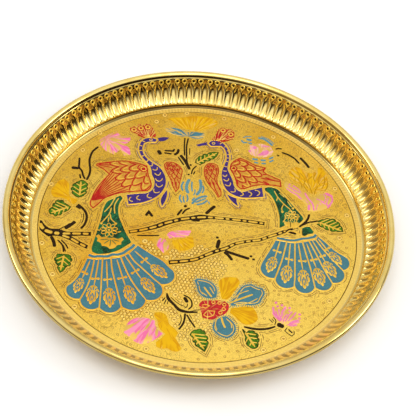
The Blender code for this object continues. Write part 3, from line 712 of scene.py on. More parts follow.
def add_rim_punches():
    """Ring with a dark hollow and a pointed foot, on each ridge between two flutes."""
    radius, height = wall_point(RIM_RING_SHARE)
    out, up = math.cos(RIM_RING_SLOPE), math.sin(RIM_RING_SLOPE)
    rings = Relief(0.05)
    hollows = Relief(0.0)
    for shapes in (rings, hollows):
        for i in range(2 * FLUTE_PAIRS):
            first = len(shapes.points)
            if shapes is rings:
                shapes.ring((0.0, 0.0), 1.55, 1.15, 0.50)
                shapes.patch(RIM_RING_FOOT, 0.40, 0.3, False)
            else:
                shapes.dot((0.0, 0.0), 0.85, 0.20)
            angle = math.pi * (i - 0.06 * (-1) ** i) / FLUTE_PAIRS
            worn = 0.4 + 0.6 * ramp(math.sin(angle), -0.6, 0.3)
            for k, (u, v, w) in enumerate(shapes.points[first:], first):
                middle = spoke((0.0, 0.0), radius + v * out - w * worn * up, angle)
                place = spoke(middle, u, angle + math.pi / 2)
                shapes.points[k] = (*place, height + v * up + w * worn * out)
    rings.piece("rim_rings", LOOKS["bead"], "brass")
    hollows.piece("rim_ring_hollows", LOOKS["dark"], "dark")


# The picture

FINISH_OF_NODE = {s["node"]: s["material_slot"] for s in frame["record"]["subparts"]}
METAL_NODES = ("thali_pan", "rim_wire")
ENAMELLED = {name: finish for name, finish in FINISH_OF_NODE.items() if name not in METAL_NODES}
OUTLINES = {name: node_outline(name) for name in ENAMELLED}
OUTLINED = [name for name, finish in ENAMELLED.items() if finish in ("indigo", "emerald") or "tail" in name]

# Wings: the middle of their rows of scales, the scales' size and where long feathers start
WINGS = {
    "left_wing": ((-36, 58), 6.6, 31), "right_wing": ((9, 68), 6.2, 32),
    "left_far_wing": ((-25, 67), 3.5, 22), "right_far_wing": ((0, 71), 3.5, 22),
}
NET_WIDTH = 1.0
# Wing tips at which long feathers run together, with the angles that they start between
WING_TIPS = {"left_wing": (((-80.5, 13), 200, 246, 12), ((-82, 48.5), 172, 198, 7))}

# Paint and its deeper shade, for enamel brushed on in streaks
PAINTS = {
    "red": ((0.52, 0.024, 0.030), (0.36, 0.012, 0.016)), "pink": ((0.82, 0.27, 0.44), (0.74, 0.15, 0.33)),
    "yellow": ((0.71, 0.405, 0.006), (0.57, 0.265, 0.004)),
    "light_blue": ((0.075, 0.22, 0.27), (0.05, 0.15, 0.19)),
}
# Brushed areas: the root of the streaks, their reach and width, and the level left bare
BRUSHED = {
    "top_flower_cup": ((-17, 88), 14, 1.2, 0.47), "red_flower_centre": ((14, -70), 10, 1.1, 0.36),
    "left_crest": ((-46, 80), 10, 1.0, 0.53), "right_crest": ((4.5, 85), 10, 1.0, 0.54),
    "left_pink_flower": ((-78, 76), 16, 1.5, 0.49), "right_pink_flower": ((50, 70), 24, 1.4, 0.60),
    "centre_pink_upper": ((-26, -6), 14, 1.2, 0.43), "centre_pink_lower": ((-22, -4), 9, 1.2, 0.44),
    "bottom_pink_flower": ((-18, -74), 16, 1.4, 0.41),
    "bottom_right_pink_flower": ((67.5, -76), 9, 1.3, 0.58),
    "top_yellow_flower": ((-14, 92), 14, 1.4, 0.34), "left_yellow_flower": ((-96, 14), 12, 1.4, 0.36),
    "centre_yellow_petal": ((-16, -9), 12, 1.3, 0.30), "right_yellow_flower": ((80, 50), 16, 1.2, 0.41),
    "yellow_petal_top": ((22, -62), 12, 1.3, 0.24), "yellow_petal_right": ((27, -66), 14, 1.3, 0.22),
    "bottom_yellow_flower": ((-16, -84), 10, 1.3, 0.27),
}

# Fine dark stems and twigs, each as its width and its points
TWIG_WEIGHT = 1.4
TWIGS = [
    (1.1, [(-94.7, 53), (-94, 47.5), (-93.5, 43.5), (-91, 40.5), (-89.5, 36.5), (-87.5, 33)]),
    (1.9, [(-99, 42.4), (-93.5, 42.6)]), (0.9, [(-92, 37), (-90.7, 33)]),
    (1.2, [(-82.5, 66.2), (-84, 64), (-86, 60.5), (-86.7, 57), (-87, 52.5), (-86.2, 47.5), (-85.2, 43.5),
           (-85, 38), (-86.2, 32.3)]), (0.9, [(-98, -26.5), (-94, -30.5), (-92, -36.5)]),
    (0.8, [(-95.5, -26), (-91, -30.5), (-89.5, -33)]), (0.7, [(-93.7, -30), (-90.7, -36)]),
    (1.9, [(-94.5, -15.6), (-91, -11.5), (-88.2, -7.8)]), (0.6, [(-99, -17), (-95.5, -14.2), (-91.6, -10)]),
    (1.8, [(-103, -24), (-100.5, -28.5), (-99, -33)]), (1.2, [(-90, 6.4), (-86.4, 4.6)]),
    (0.5, [(-83.6, 0.5), (-82.8, -4), (-83.6, -8.5)]), (0.8, [(-19.2, 86.5), (-18.7, 77.5), (-17.5, 68.5)]),
    (0.5, [(-14.4, 77), (-14.2, 73), (-13.8, 70)]),
    (0.9, [(-16.7, 86.5), (-17, 78), (-16, 69), (-14.5, 61), (-12, 55.5)]),
    (1.7, [(-20.7, 68.6), (-16.6, 63.4), (-12.3, 55.5)]), (0.9, [(-22.2, 66.5), (-17, 59)]),
    (0.8, [(-7.5, 60), (-10, 55.5), (-10.5, 51)]), (0.7, [(-8, 54.5), (-9, 51)]),
    (2.0, [(-37.7, 70.5), (-35.3, 66.5)]), (1.1, [(-33, 71), (-26.4, 71.6), (-25.8, 74)]),
    (1.0, [(-33, 68.7), (-27, 68.5)]), (1.5, [(-22.8, 74.2), (-22.9, 71), (-25.3, 67.8)]),
    (1.2, [(-16.5, 10), (-13.5, 16.5)]), (1.0, [(-13, 12), (-11, 16), (-8, 18.5)]),
    (1.8, [(4, 15), (7, 19.5), (10, 23.5)]), (1.6, [(-6, 7.7), (0.5, 8)]),
    (1.5, [(-39, 6), (-37.2, 10), (-34, 6)]), (1.4, [(13.5, -5.5), (15.5, -5.5)]),
    (1.3, [(39, -18.5), (41, -18.5)]), (1.2, [(41, -21), (43, -21)]),
    (1.2, [(70.5, 12.5), (75.5, 17.5), (78.2, 22), (79.4, 27.4)]), (2.0, [(15.2, -15.5), (16, -7.3)]),
    (1.7, [(21, -16.8), (30, -19), (39, -21)]), (1.6, [(20.5, -17.8), (23.5, -20), (27, -24.3)]),
    (1.4, [(64.5, 8.6), (71, 7.2)]), (1.0, [(-1.2, -75.5), (-1, -80), (-2, -85.5), (-4, -89.8)]),
    (0.9, [(0, -76.5), (3, -81), (7, -86.4)]),
    (0.5, [(-4.4, -77), (-3.4, -80), (-3.4, -84), (-4.4, -86.6)]), (0.4, [(1.8, -76), (4.2, -79.6)]),
    (0.8, [(-4, -60.2), (0, -62), (2.4, -65.5), (2.6, -69), (0.6, -72)]),
    (1.8, [(-3.2, -62), (-0.6, -66.2)]), (0.5, [(-0.6, -67), (-0.4, -69.4), (-2.2, -71.4)]),
    (0.4, [(-12.6, -63.4), (-9.5, -66.2), (-5, -69), (-1.5, -70)]),
    (0.4, [(1.6, -73.6), (5, -72.2), (9.4, -70.6)]), (0.6, [(-16.4, -64.4), (-18, -67.8)]),
    (0.5, [(-15.4, -66), (-16.6, -70.4)]), (0.4, [(-14, -67), (-14.4, -70)]),
    (0.5, [(56.9, -71), (59.8, -73.8)]), (0.4, [(58.6, -70.6), (60.6, -72.6)]),
    (0.5, [(59.6, -69), (61.6, -71.6), (61.2, -75.6)]), (0.8, [(70.8, -77.7), (73.8, -80.4)]),
    (0.45, [(70, -76.3), (68.4, -79.3), (71, -81.4), (73.4, -82.8), (75, -81), (74.6, -78)]),
    (0.9, [(50, 87), (52, 88), (55, 88)]), (0.9, [(51.5, 81.5), (53.5, 80.5)]),
    (1.1, [(55, 84.5), (60, 83), (65, 80), (69, 75.5)]),
    (1.5, [(69.2, 81.7), (72.5, 78), (75, 75), (76.5, 72.5)]), (1.0, [(80.5, 20), (86.5, 22.3)]),
    (0.8, [(-43, -13), (-35, -12), (-27, -10.5)]),
]
TWIG_SPOTS = [
    ((-11.5, 19.7), 1.2), ((-12, 60), 0.9), ((-12.5, 50.5), 0.9), ((64.4, -75), 1.9), ((66, -75.6), 1.8),
]
STEM_WIDENING = 0.25

# Middle lines of the branches, along which gold shows between dark bands
BRANCH_MIDDLES = [
    (1.6, [(-49, -11), (-42.5, -8.6), (-36, -5.8), (-30, -2.6), (-24, 1.4), (-18, 4.6), (-12, 7.4),
           (-6, 9.3), (1, 11.2), (8, 12.2), (16, 12.7), (25, 13), (34, 13.2), (47, 13)]),
    (1.5, [(-17.2, -33.6), (-8, -31), (1, -27.7), (9, -22), (16, -17.3), (21, -14.6), (28, -9),
           (36, -5.5), (45, -2.6), (52, 1.8), (58, 5.4), (63.5, 9)]),
    (2.6, [(-113, -13), (-111, -16.8), (-107, -19.8), (-102, -20.6), (-97, -20.6)]),
    (1.8, [(-96, -20.4), (-88, -19), (-76.5, -17.4)]),
    (1.7, [(-96, -21.8), (-90, -23.4), (-83, -26.8), (-77, -29.4)]),
]
BAND_START = 0.6
BAND_SPACING = 6.0
BAND_WIDTH = 0.8

BLUE_STROKES = [
    (1.4, [(-15.3, 43), (-16.4, 38.5), (-15, 34)]),
    (2.4, [(-11.4, 46), (-12.6, 41), (-12.4, 36), (-10.6, 32.3)]),
    (1.2, [(-9.2, 44), (-8.9, 39), (-8, 34.5)]), (2.2, [(-3.6, 47), (-2.4, 42), (-2.3, 37), (-4.6, 31.5)]),
    (1.2, [(-0.8, 41.5), (0.1, 38), (-0.6, 34)]), (0.9, [(-6.4, 37), (-6, 33.5), (-6.8, 31)]),
    (1.3, [(-16.2, 30), (-16.4, 26), (-14.4, 22.6)]), (1.2, [(-14, 29), (-13.4, 25), (-12.6, 22.8)]),
    (1.2, [(-11.8, 31), (-10.6, 27.5), (-11, 24)]),
    (1.9, [(-7, 22.6), (-4.6, 27), (-0.4, 30.6), (3.4, 31.8)]), (1.5, [(-3.6, 22.4), (1, 24.6), (4, 28)]),
    (1.3, [(-7.4, 25.6), (-5.6, 29)]), (1.4, [(-4.6, 24.4), (-1, 27), (2.6, 29.6)]),
    (0.9, [(4.8, 27), (5.8, 24.5)]), (2.2, [(27.2, 93.2), (31.4, 92.8)]),
    (1.3, [(23.4, 91.6), (25.4, 89.4), (28.2, 90)]), (1.3, [(29, 89.4), (32, 89.8)]),
    (0.9, [(24.5, 94.4), (27, 96), (31, 96.6)]), (1.8, [(36, 96.2), (40, 95.9), (44, 93.6), (47.6, 90.2)]),
    (0.7, [(38, 98.2), (44, 96), (48.6, 92)]), (1.8, [(33.2, 74.2), (37.6, 73.9)]),
    (1.8, [(39.6, 73.9), (43.6, 74.3)]), (1.4, [(35, 71), (38.2, 70.8)]), (1.4, [(40.4, 70.8), (44, 71.2)]),
    (1.5, [(45.8, 76), (49, 78.8)]), (1.4, [(46.2, 73.2), (49.4, 75.6)]), (1.2, [(60, 2.2), (66, 2.4)]),
]

PINK_SPOTS = [
    ((34.2, 85.8), 1.7), ((30.8, 81.7), 1.1), ((60.7, -56.4), 1.0), ((62, -59.4), 0.9), ((65, -58), 1.0),
    ((70.5, -59.5), 1.0), ((70.5, -62.4), 0.8), ((77.8, -63.9), 1.0), ((77.8, -67.3), 1.0),
    ((63, 53.5), 0.9), ((66.3, 52.3), 0.9),
]
PINK_STROKES = [
    (1.0, [(61, 49.6), (65, 46.4), (69, 44.4), (73, 40.6)]), (0.9, [(61.6, 52), (66, 49.2), (71.2, 46.6)]),
    (0.7, [(66, 52.8), (70, 49.8), (71.8, 47)]),
    (1.3, [(74.8, 47.4), (77.4, 42.6), (81, 38), (82.6, 31.4)]), (1.9, [(78.7, 36.4), (78.7, 31)]),
    (1.3, [(90.4, 48.6), (94.4, 47.4), (95.6, 44), (94, 39), (92.4, 35.4)]),
    (0.9, [(92.6, 45.4), (91.6, 41), (92, 37)]), (0.9, [(83.6, 43), (86.6, 42)]),
    (0.7, [(88.6, 48.4), (90.6, 45.2), (89, 40)]), (0.6, [(85, 38.4), (84, 31.6)]),
    (1.4, [(59, -60.4), (59.5, -64), (61.5, -68), (65, -71.8)]),
    (1.0, [(61, -63.5), (62.5, -67.5), (65.5, -71)]), (1.0, [(63, -61.5), (63.6, -65.5), (66, -70.5)]),
    (1.2, [(67.5, -60), (65.6, -63.5), (65.8, -68)]), (1.0, [(69.5, -64.8), (67.2, -69), (67, -72)]),
    (1.0, [(72.6, -62.2), (70, -66.5), (68.2, -71.6)]), (1.0, [(75.2, -62.4), (73.6, -66), (70, -71)]),
    (1.7, [(77.8, -69.2), (74.4, -70.4), (71.2, -72.6)]), (1.5, [(71, -74.2), (73.6, -74), (76.6, -73)]),
]
AMBER_STROKES = [
    (0.7, [(70, 66.4), (73.2, 62), (74, 57), (77, 52)]), (0.7, [(63.6, 65), (66.2, 62), (67, 57)]),
    (0.7, [(75, 60.4), (73.6, 55), (77, 49)]),
    (0.8, [(79.4, 64.6), (76.4, 59.5), (78.4, 53), (80.6, 47.4)]),
    (0.7, [(82.2, 68), (80.6, 63), (82, 59)]), (0.7, [(85.2, 67), (84, 61), (86, 56)]),
    (0.8, [(88.2, 66), (89, 60), (87, 53)]), (0.7, [(91, 62), (91.4, 57), (89.6, 51.8)]),
    (0.8, [(84.2, 55.4), (82.4, 51), (82, 47)]), (0.7, [(68, 60.4), (71, 57), (72.6, 52)]),
    (0.6, [(67.4, 67.4), (70, 63), (69, 58.6)]), (0.6, [(76, 66.6), (75.4, 62.4)]),
]
PINK_PATCHES = [
    [(36.4, 78.2), (38.5, 80.5), (40.5, 83), (43.5, 85), (45.4, 84), (44.6, 81), (41.4, 79)],
    [(38.4, 88), (40.5, 89), (44, 89.2), (46, 88.4), (43, 87.8)],
]
PINK_WASH = [
    (28.8, 84), (31, 88), (35.5, 90), (41, 90.4), (46, 88.6), (48.6, 84.6), (47, 80.4), (42.5, 77.4),
    (37, 76.8), (32, 78.4),
]

LEFT_BEAK = [
    (-39.2, 82.8), (-35, 84.4), (-30.8, 84.5), (-33, 81.8), (-35, 80.3), (-38.2, 79.8), (-39, 81.2),
]
RIGHT_BEAK = [(-2, 85.2), (-5, 83.6), (-10.3, 80.8), (-8, 79.6), (-4.5, 81.2), (-2.2, 81.9)]
EYES = [(-44.4, 80), (2.8, 84.7)]

# Places along each neck and belly that carry a gold band, with the band's length
LEFT_BANDS = [
    (-49.6, 77.5, 2.6), (-51, 72.7, 2.0), (-50.6, 68, 2.2), (-48.2, 63, 3.0), (-45, 58.7, 3.4),
    (-41.2, 54.9, 3.6), (-37.4, 51.5, 4.0), (-35, 47, 4.6), (-33.6, 41.5, 5.4), (-33, 36, 5.2),
    (-34.6, 30, 5.0), (-39, 24.5, 4.6), (-46.5, 21.5, 4.2), (-51.8, 19.2, 4.2),
]
RIGHT_BANDS = [
    (8.3, 85.5, 2.2), (12, 82.8, 1.8), (14.2, 79, 1.6), (15, 75.3, 1.6), (15, 71.8, 1.6), (14.6, 68.3, 1.8),
    (14.1, 63, 2.4), (14, 58.5, 2.8), (14.4, 54, 3.2), (16, 50, 4.0), (17.8, 45.6, 4.6), (22.2, 40.4, 4.4),
    (28.5, 38.2, 4.0), (34.5, 39.4, 4.6), (40, 41.6, 5.6),
]
# A band's shape, as shares of its half length and of its sag
CRESCENT = [(-1, -1), (-0.6, 0.4), (0, 1), (0.6, 0.4), (1, -1)]

# Each tail feather's gold stem, its crossbar and the long axis of its flower
FEATHER_MOTIFS = [
    ((-72.5, -41), (-75.5, -57), (-76, -51.7), (-73, -53), (-76, -57.5), (-78.6, -70.5)),
    ((-66.6, -39), (-66.5, -62), (-68.5, -56.5), (-64.5, -55.8), (-66.5, -62), (-66.7, -78.5)),
    ((-61, -39.5), (-57, -62.5), (-60, -56), (-55.8, -54.8), (-56, -62.5), (-53, -79)),
    ((-54, -37), (-45, -59), (-50.5, -53.5), (-45.7, -51.3), (-44, -58.5), (-37.5, -73.5)),
    ((-49, -32.5), (-35, -51), (-41.7, -47.2), (-38, -43.5), (-34.3, -50.3), (-24, -62)),
    ((-42.5, -27.5), (-29.5, -38.3), (-36.3, -36.5), (-33.5, -32.7), (-29.3, -38), (-16.8, -47.4)),
    ((59.7, -1.5), (57, -17.5), (56, -10.3), (60.5, -11.5), (56.6, -16.5), (53.2, -31)),
    ((67.2, -2), (67, -23), (65.3, -16.5), (69.3, -17), (66.8, -22.5), (65.6, -38.5)),
    ((73, -1.5), (77.5, -24), (74.8, -17), (79, -16.5), (77.7, -24.5), (80, -41)),
    ((79, -0.5), (87, -21), (83.2, -15), (86.6, -13.5), (87, -21.5), (92.8, -36.5)),
    ((83, 3), (93, -14.5), (89.8, -10.5), (92.5, -9), (93, -14.5), (101.5, -27.5)),
    ((87, 5.5), (95.5, -5.5), (92.6, -4.2), (95.3, -1.6), (96, -5.6), (105.2, -15.4)),
]
# One side of a feather's palmette, as shares of its length and of its half width, and its veins
PALMETTE = [
    (0, 0.1), (0.03, 0.4), (0.1, 0.66), (0.14, 0.58), (0.2, 0.88), (0.31, 1), (0.36, 0.8), (0.43, 1),
    (0.6, 0.98), (0.68, 0.8), (0.6, 0.6), (0.72, 0.74), (0.83, 0.62), (0.87, 0.44), (0.76, 0.28),
    (0.9, 0.3), (1, 0.1),
]
PALMETTE_VEINS = [
    (0.6, [(0.08, 0), (0.28, 0)]), (0.7, [(0.4, 0), (0.58, 0)]), (0.5, [(0.68, 0), (0.84, 0)]),
    (0.6, [(0.62, 0.56), (0.42, 0.5), (0.3, 0.4)]), (0.5, [(0.78, 0.26), (0.6, 0.28), (0.48, 0.22)]),
    (0.6, [(0.14, 0.52), (0.26, 0.3)]), (0.6, [(0.36, 0.8), (0.27, 0.64)]),
]
PALMETTE_SPREAD = 0.25

LEFT_TRAIN_LINES = [
    (0.9, [(-63, 19.5), (-65.5, 11), (-69, 4.2)]), (0.9, [(-60.5, 19), (-62.5, 12), (-61.3, 4)]),
    (0.9, [(-64.5, 9), (-65, 4), (-68, -3), (-69.6, -6)]), (0.9, [(-64.5, 3), (-63, -1.5), (-59.5, -4.5)]),
    (0.8, [(-65, 0), (-65, -4.5)]), (0.8, [(-72.5, -12.5), (-69.5, -13)]),
    (0.8, [(-57, -12.5), (-54.5, -11.5)]),
]
LEFT_TRAIN_FLOWER = (-63.3, -11.5)
LEFT_SCALLOP = [
    (-70, -16.8), (-67.5, -19), (-64.8, -18.2), (-62, -18.8), (-59, -18), (-56, -18.6), (-53, -16.6),
    (-51.6, -18.5), (-53, -21), (-52.8, -23.2), (-55.5, -24.4), (-57, -27), (-60.3, -28.6), (-63, -26.8),
    (-66.2, -26.6), (-67.6, -24.2), (-70.4, -23), (-70, -20.6), (-71.8, -18.6),
]
RIGHT_TRAIN_LINES = [
    (0.8, [(52, 45.5), (55, 40), (60, 34), (65, 29.5), (68, 26)]), (0.8, [(55, 40), (54.5, 36)]),
    (0.8, [(60, 34), (58.8, 29), (59.5, 26.5)]), (0.8, [(62.5, 37), (66, 32)]),
    (0.7, [(56, 44), (60, 40.5)]), (1.3, [(58, 10.5), (63, 10), (66.5, 13.5), (66, 17)]),
    (1.1, [(62, 5), (66, 9.5), (71, 9), (74.5, 6.5)]), (1.0, [(68, 12), (72, 14), (75, 11.5)]),
    (0.8, [(60.5, 16.5), (62, 20.5), (61.5, 24)]), (0.8, [(70.5, 18.5), (70.8, 22), (72.3, 24.5)]),
]
RIGHT_TRAIN_FLOWER = (66.6, 23.4)
RIGHT_SCALLOP = [
    (61.4, 18), (63.5, 17.4), (65.6, 18.4), (67.6, 17.6), (70, 18.6), (72.2, 17.8), (73, 15.6),
    (71.4, 13.8), (69, 13.4), (66.4, 12.6), (63.8, 13.4), (61.6, 14.8),
]
SCALLOP_VEINS = [
    [(-60.8, -20), (-60.6, -26.5)], [(-61.5, -20.5), (-65, -24.6)], [(-60, -20.5), (-56.4, -24)],
    [(-62.5, -20), (-68.2, -21.6)], [(-59, -20), (-54.6, -20.8)], [(67.5, 17), (68.5, 20.5)],
    [(66.2, 16.8), (64.4, 19.4)],
]
TRAIN_DOTS = [(-69.6, -6.4), (-59.3, -5), (59.5, 26.3), (67, 31)]

# Leaves: the lobes of their edges, and where the stalk meets each and its tip
LEAF_LOBES = 10
LEAF_NOTCH = 1.5
LEAF_RIBS = {
    "top_leaf": ((-7.8, 62.8), (6.2, 75.2)), "left_upper_leaf": ((-89, 16.5), (-90, 30)),
    "left_middle_leaf": ((-95, 4.6), (-106.6, -2.8)), "left_lower_leaf": ((-91.3, -39.6), (-91.6, -53)),
    "right_leaf": ((87, 20.8), (103.4, 15.8)), "bottom_left_leaf": ((5.4, -91.4), (14.8, -103.2)),
    "bottom_right_leaf": ((41.5, -85), (49, -95.8)),
}
VEIN_SPACING = 3.4

# Gold streaks on the petals, as widths and points, and the petals with frayed edges
PETAL_STREAKS = [
    (1.2, [(9.5, -51), (12.5, -55), (15.8, -58.8)]), (0.7, [(8.5, -56), (12.5, -58.5)]),
    (0.7, [(13.5, -50.5), (17, -56)]), (1.3, [(28.5, -62), (36, -57), (44, -52)]),
    (0.7, [(33, -62.5), (42, -59.5), (47.5, -55)]), (0.7, [(31, -57.5), (36, -52), (41, -49)]),
    (1.4, [(24, -75), (25.5, -79.5), (27.5, -83.5)]), (0.7, [(21, -76), (20.5, -82), (22, -86)]),
    (0.7, [(27.5, -75.5), (31, -79), (32, -83)]),
]
TOP_FLOWER_ROOT = (-15, 91)
FLOWER_CENTRE = (18.5, -68)
FLOWER_CENTRE_REACH = 14
FRAYED = ("blue_petal_left", "blue_petal_right", "blue_petal_bottom")
FRINGE_SPACING = 1.3

# Gold in the red centre of the flower: small rings, and loops as widths and points
RED_CENTRE_DOTS = [(17.3, -63), (21.5, -63), (25, -64), (25, -67.8), (23, -71.2)]
RED_CENTRE_LOOPS = [
    (0.6, [(9.5, -67), (12, -65.8), (15, -66.5), (12.5, -69), (9.8, -68)]),
    (0.6, [(11.5, -75), (14, -71), (19, -70.5), (18.5, -74), (14.5, -76), (11.5, -75)]),
]

# Rings on the shoulders, by their inner and outer radius, and the rings and strokes on the crests
SHOULDERS = [((-46.2, 50.2), 1.5, 2.8), ((20.2, 62.2), 1.2, 2.5)]
CREST_DOTS = [(-58.4, 87.8), (-53.4, 90.3), (-48.3, 92.2), (8.7, 99), (15, 96)]
CREST_RING = 2.5
CREST_STROKES = 14

# The close field of small punched rings, the large ones scattered over the ground, and its dots
FIELD_CENTRE = (-12, -56)
FIELD_RADIUS = 44
FIELD_PITCH = (2.7, 2.4)
PUNCHES = [
    (-37, 107.3), (-42.5, 99.3), (-20.5, 112), (8.5, 111.5), (47.5, 99.3), (20.8, 80.8), (-83.3, 80.2),
    (-93.5, 61), (-111, 24), (-108.5, -31), (-36.5, -17.5), (-19.5, -29.5), (-4.5, -40.5), (17.5, -36),
    (-9.5, -61), (-27.5, -79), (-8, -82), (13, -82), (-96.5, -57), (-77, -82), (-24, -109), (97, 55.5),
    (107, 31), (102.5, 9), (98, -49), (55, -97.5), (68, -86),
]
PUNCH_REACH = 2.0
WASH_REACH = 9
DOT_PITCH = (6.4, 5.6)
ECHO_DISTANCES = (1.8, 3.1)


def add_enamel():
    """Each enamel node again with smooth edges and a rounded surface, and its gold outline."""
    outlines = Relief(FLOOR)
    leaf_edges = Relief(FLOOR)
    for number, (name, finish) in enumerate(ENAMELLED.items(), len(METAL_NODES)):
        outline = OUTLINES[name]
        leaf = finish == "leaf_green"
        if leaf:
            outline = lobed(outline, LEAF_LOBES, LEAF_NOTCH, LEAF_RIBS[name])
        elif name in ("hook_stem", "bottom_stem"):
            outline = offset(outline, -STEM_WIDENING, True)
        material = LOOKS["copper" if name in WINGS else finish]
        if name in BRUSHED:
            material = streaky_paint(name + "_paint", *PAINTS[finish], *BRUSHED[name])
        pad = Relief(FLOOR, number)
        pad.patch(outline, ENAMEL_HEIGHT, 0.18, not leaf)
        piece = pad.piece(name + "_surface", material, finish)
        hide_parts(name)
        if leaf:
            leaf_edges.line(offset(outline, -0.2, True), 0.5, 0.12, True, False)
        elif name in OUTLINED:
            edge = offset(smooth(outline, True), -0.45 * OUTLINE_WIDTH, True)
            outlines.line(edge, OUTLINE_WIDTH, OUTLINE_HEIGHT, True, False)
    outlines.piece("gold_outlines", LOOKS["gold"], "brass")
    leaf_edges.piece("leaf_edges", LOOKS["dark"], "dark")


def add_stems():
    """Fine dark twigs, and the gold that shows between dark bands along the branches."""
    twigs = Relief(FLOOR)
    twigs.lines([(TWIG_WEIGHT * width, path) for width, path in TWIGS], 0.12)
    for centre, radius in TWIG_SPOTS:
        twigs.dot(centre, radius)
    twigs.piece("fine_stems", LOOKS["dark"], "dark")
    middles = Relief()
    for width, path in BRANCH_MIDDLES:
        path = smooth(path)
        lengths = np.cumsum([0.0] + [math.dist(a, b) for a, b in zip(path, path[1:])])
        start = BAND_START
        while start < lengths[-1] - 1.5:
            end = min(start + BAND_SPACING * (0.7 + 0.5 * math.sin(start)), lengths[-1] - BAND_START)
            part = [point for point, along in zip(path, lengths) if start <= along <= end]
            if len(part) > 2:
                middles.line(part, width, 0.10, curve=False)
            start = end + BAND_WIDTH
    middles.piece("branch_middles", LOOKS["gold"], "brass")


def add_strokes():
    """Loose brush strokes of blue, pink and amber enamel, the pink wash and the beaks."""
    blue = Relief(FLOOR)
    blue.lines(BLUE_STROKES, 0.13)
    blue.piece("blue_strokes", LOOKS["pale_blue"], "light_blue")
    pink = Relief(FLOOR)
    for centre, radius in PINK_SPOTS:
        pink.dot(centre, radius, 0.16)
    for outline in PINK_PATCHES:
        pink.patch(outline, 0.16)
    pink.lines(PINK_STROKES, 0.08, ENAMEL_HEIGHT)
    pink.piece("pink_spots", LOOKS["pink"], "pink")
    amber = Relief()
    amber.lines(AMBER_STROKES, 0.08)
    amber.piece("amber_strokes", LOOKS["amber"], "yellow")
    wash = Relief(FLOOR)
    wash.patch(PINK_WASH, 0.06)
    paint = streaky_paint("pink_wash_paint", (0.80, 0.45, 0.36), (0.76, 0.36, 0.34), (38, 70), 12, 1.0, 0.50)
    wash.piece("pink_wash", paint, "pink")
    beaks = Relief(FLOOR)
    beaks.patch(LEFT_BEAK, 0.14)
    beaks.patch(RIGHT_BEAK, 0.14)
    beaks.piece("beaks", LOOKS["indigo"], "indigo")


def crescents(gold, bands):
    """Gold bands square to the path through their places."""
    places = np.array([band[:2] for band in bands], float)
    for i, length in enumerate(band[2] for band in bands):
        run = places[min(i + 1, len(bands) - 1)] - places[max(i - 1, 0)]
        run /= np.hypot(*run)
        across = np.array([-run[1], run[0]]) * length / 2
        sag = (0.28 if length > 3 else 0.05) * length
        gold.line([places[i] + u * across + v * sag * run for u, v in CRESCENT], 0.75, 0.10)


def add_bird_gold():
    """Gold bands on the bodies, eyes, shoulders, crests and the red flower centre."""
    gold = Relief()
    crescents(gold, LEFT_BANDS)
    crescents(gold, RIGHT_BANDS)
    for centre in EYES:
        gold.ring(centre, 1.0, 0.6, 0.12)
    for centre in CREST_DOTS:
        gold.dot(centre, 2.2, 0.12)
    for centre in RED_CENTRE_DOTS:
        gold.ring(centre, 1.2, 0.5, 0.12)
    for centre, inner, outer in SHOULDERS:
        gold.ring(centre, inner + 0.4, 0.6, 0.16)
    gold.lines(RED_CENTRE_LOOPS, 0.10)
    gold.piece("bird_gold", LOOKS["gold"], "brass")


def motif(gold, blue, stem_start, stem_end, cross_a, cross_b, root, tip):
    """Stem with a crossbar, then a lobed palmette with veins of the enamel between its fronds."""
    gold.line([stem_start, stem_end], 1.0, 0.12)
    gold.line([cross_a, cross_b], 1.0, 0.12)
    for end in (cross_a, cross_b):
        gold.dot(end, 1.1)
    axis = np.subtract(tip, root)
    across = np.array([-axis[1], axis[0]]) * PALMETTE_SPREAD

    def at(u, v):
        return tuple(root + u * axis + v * across)

    gold.patch([at(u, v) for u, v in PALMETTE] + [at(u, -v) for u, v in reversed(PALMETTE)], 0.12, 0.12)
    for width, path in PALMETTE_VEINS:
        for side in (-1, 1) if path[0][1] else (1,):
            blue.line([at(u, side * v) for u, v in path], 1.3 * width, 0.07, lift=0.11)


def flower(gold, centre, radius, petals):
    """Looped petals round a ring and a dot."""
    gold.dot(centre, 0.16 * radius)
    gold.ring(centre, 0.36 * radius, 0.5)
    for i in range(petals):
        angle = 2 * math.pi * (i + 0.5) / petals
        gold.ring(spoke(centre, 0.78 * radius, angle), 0.22 * radius, 0.55, 0.13, 1.5, angle)


def add_tail_gold():
    """Gold lines, flowers and palmettes of the trains and tail feathers, with veins on them."""
    gold = Relief()
    veins = Relief()
    for parts in FEATHER_MOTIFS:
        motif(gold, veins, *parts)
    gold.lines(LEFT_TRAIN_LINES + RIGHT_TRAIN_LINES, 0.12)
    gold.patch(LEFT_SCALLOP)
    gold.patch(RIGHT_SCALLOP)
    flower(gold, LEFT_TRAIN_FLOWER, 5.6, 9)
    flower(gold, RIGHT_TRAIN_FLOWER, 4.6, 8)
    for centre in TRAIN_DOTS:
        gold.dot(centre, 1.0)
    gold.piece("tail_gold", LOOKS["gold"], "brass")
    veins.piece("palmette_veins", LOOKS["light_blue"], "light_blue")
    green = Relief()
    green.lines([(0.6, path) for path in SCALLOP_VEINS], 0.08, 0.12)
    green.piece("scallop_veins", LOOKS["emerald"], "emerald")


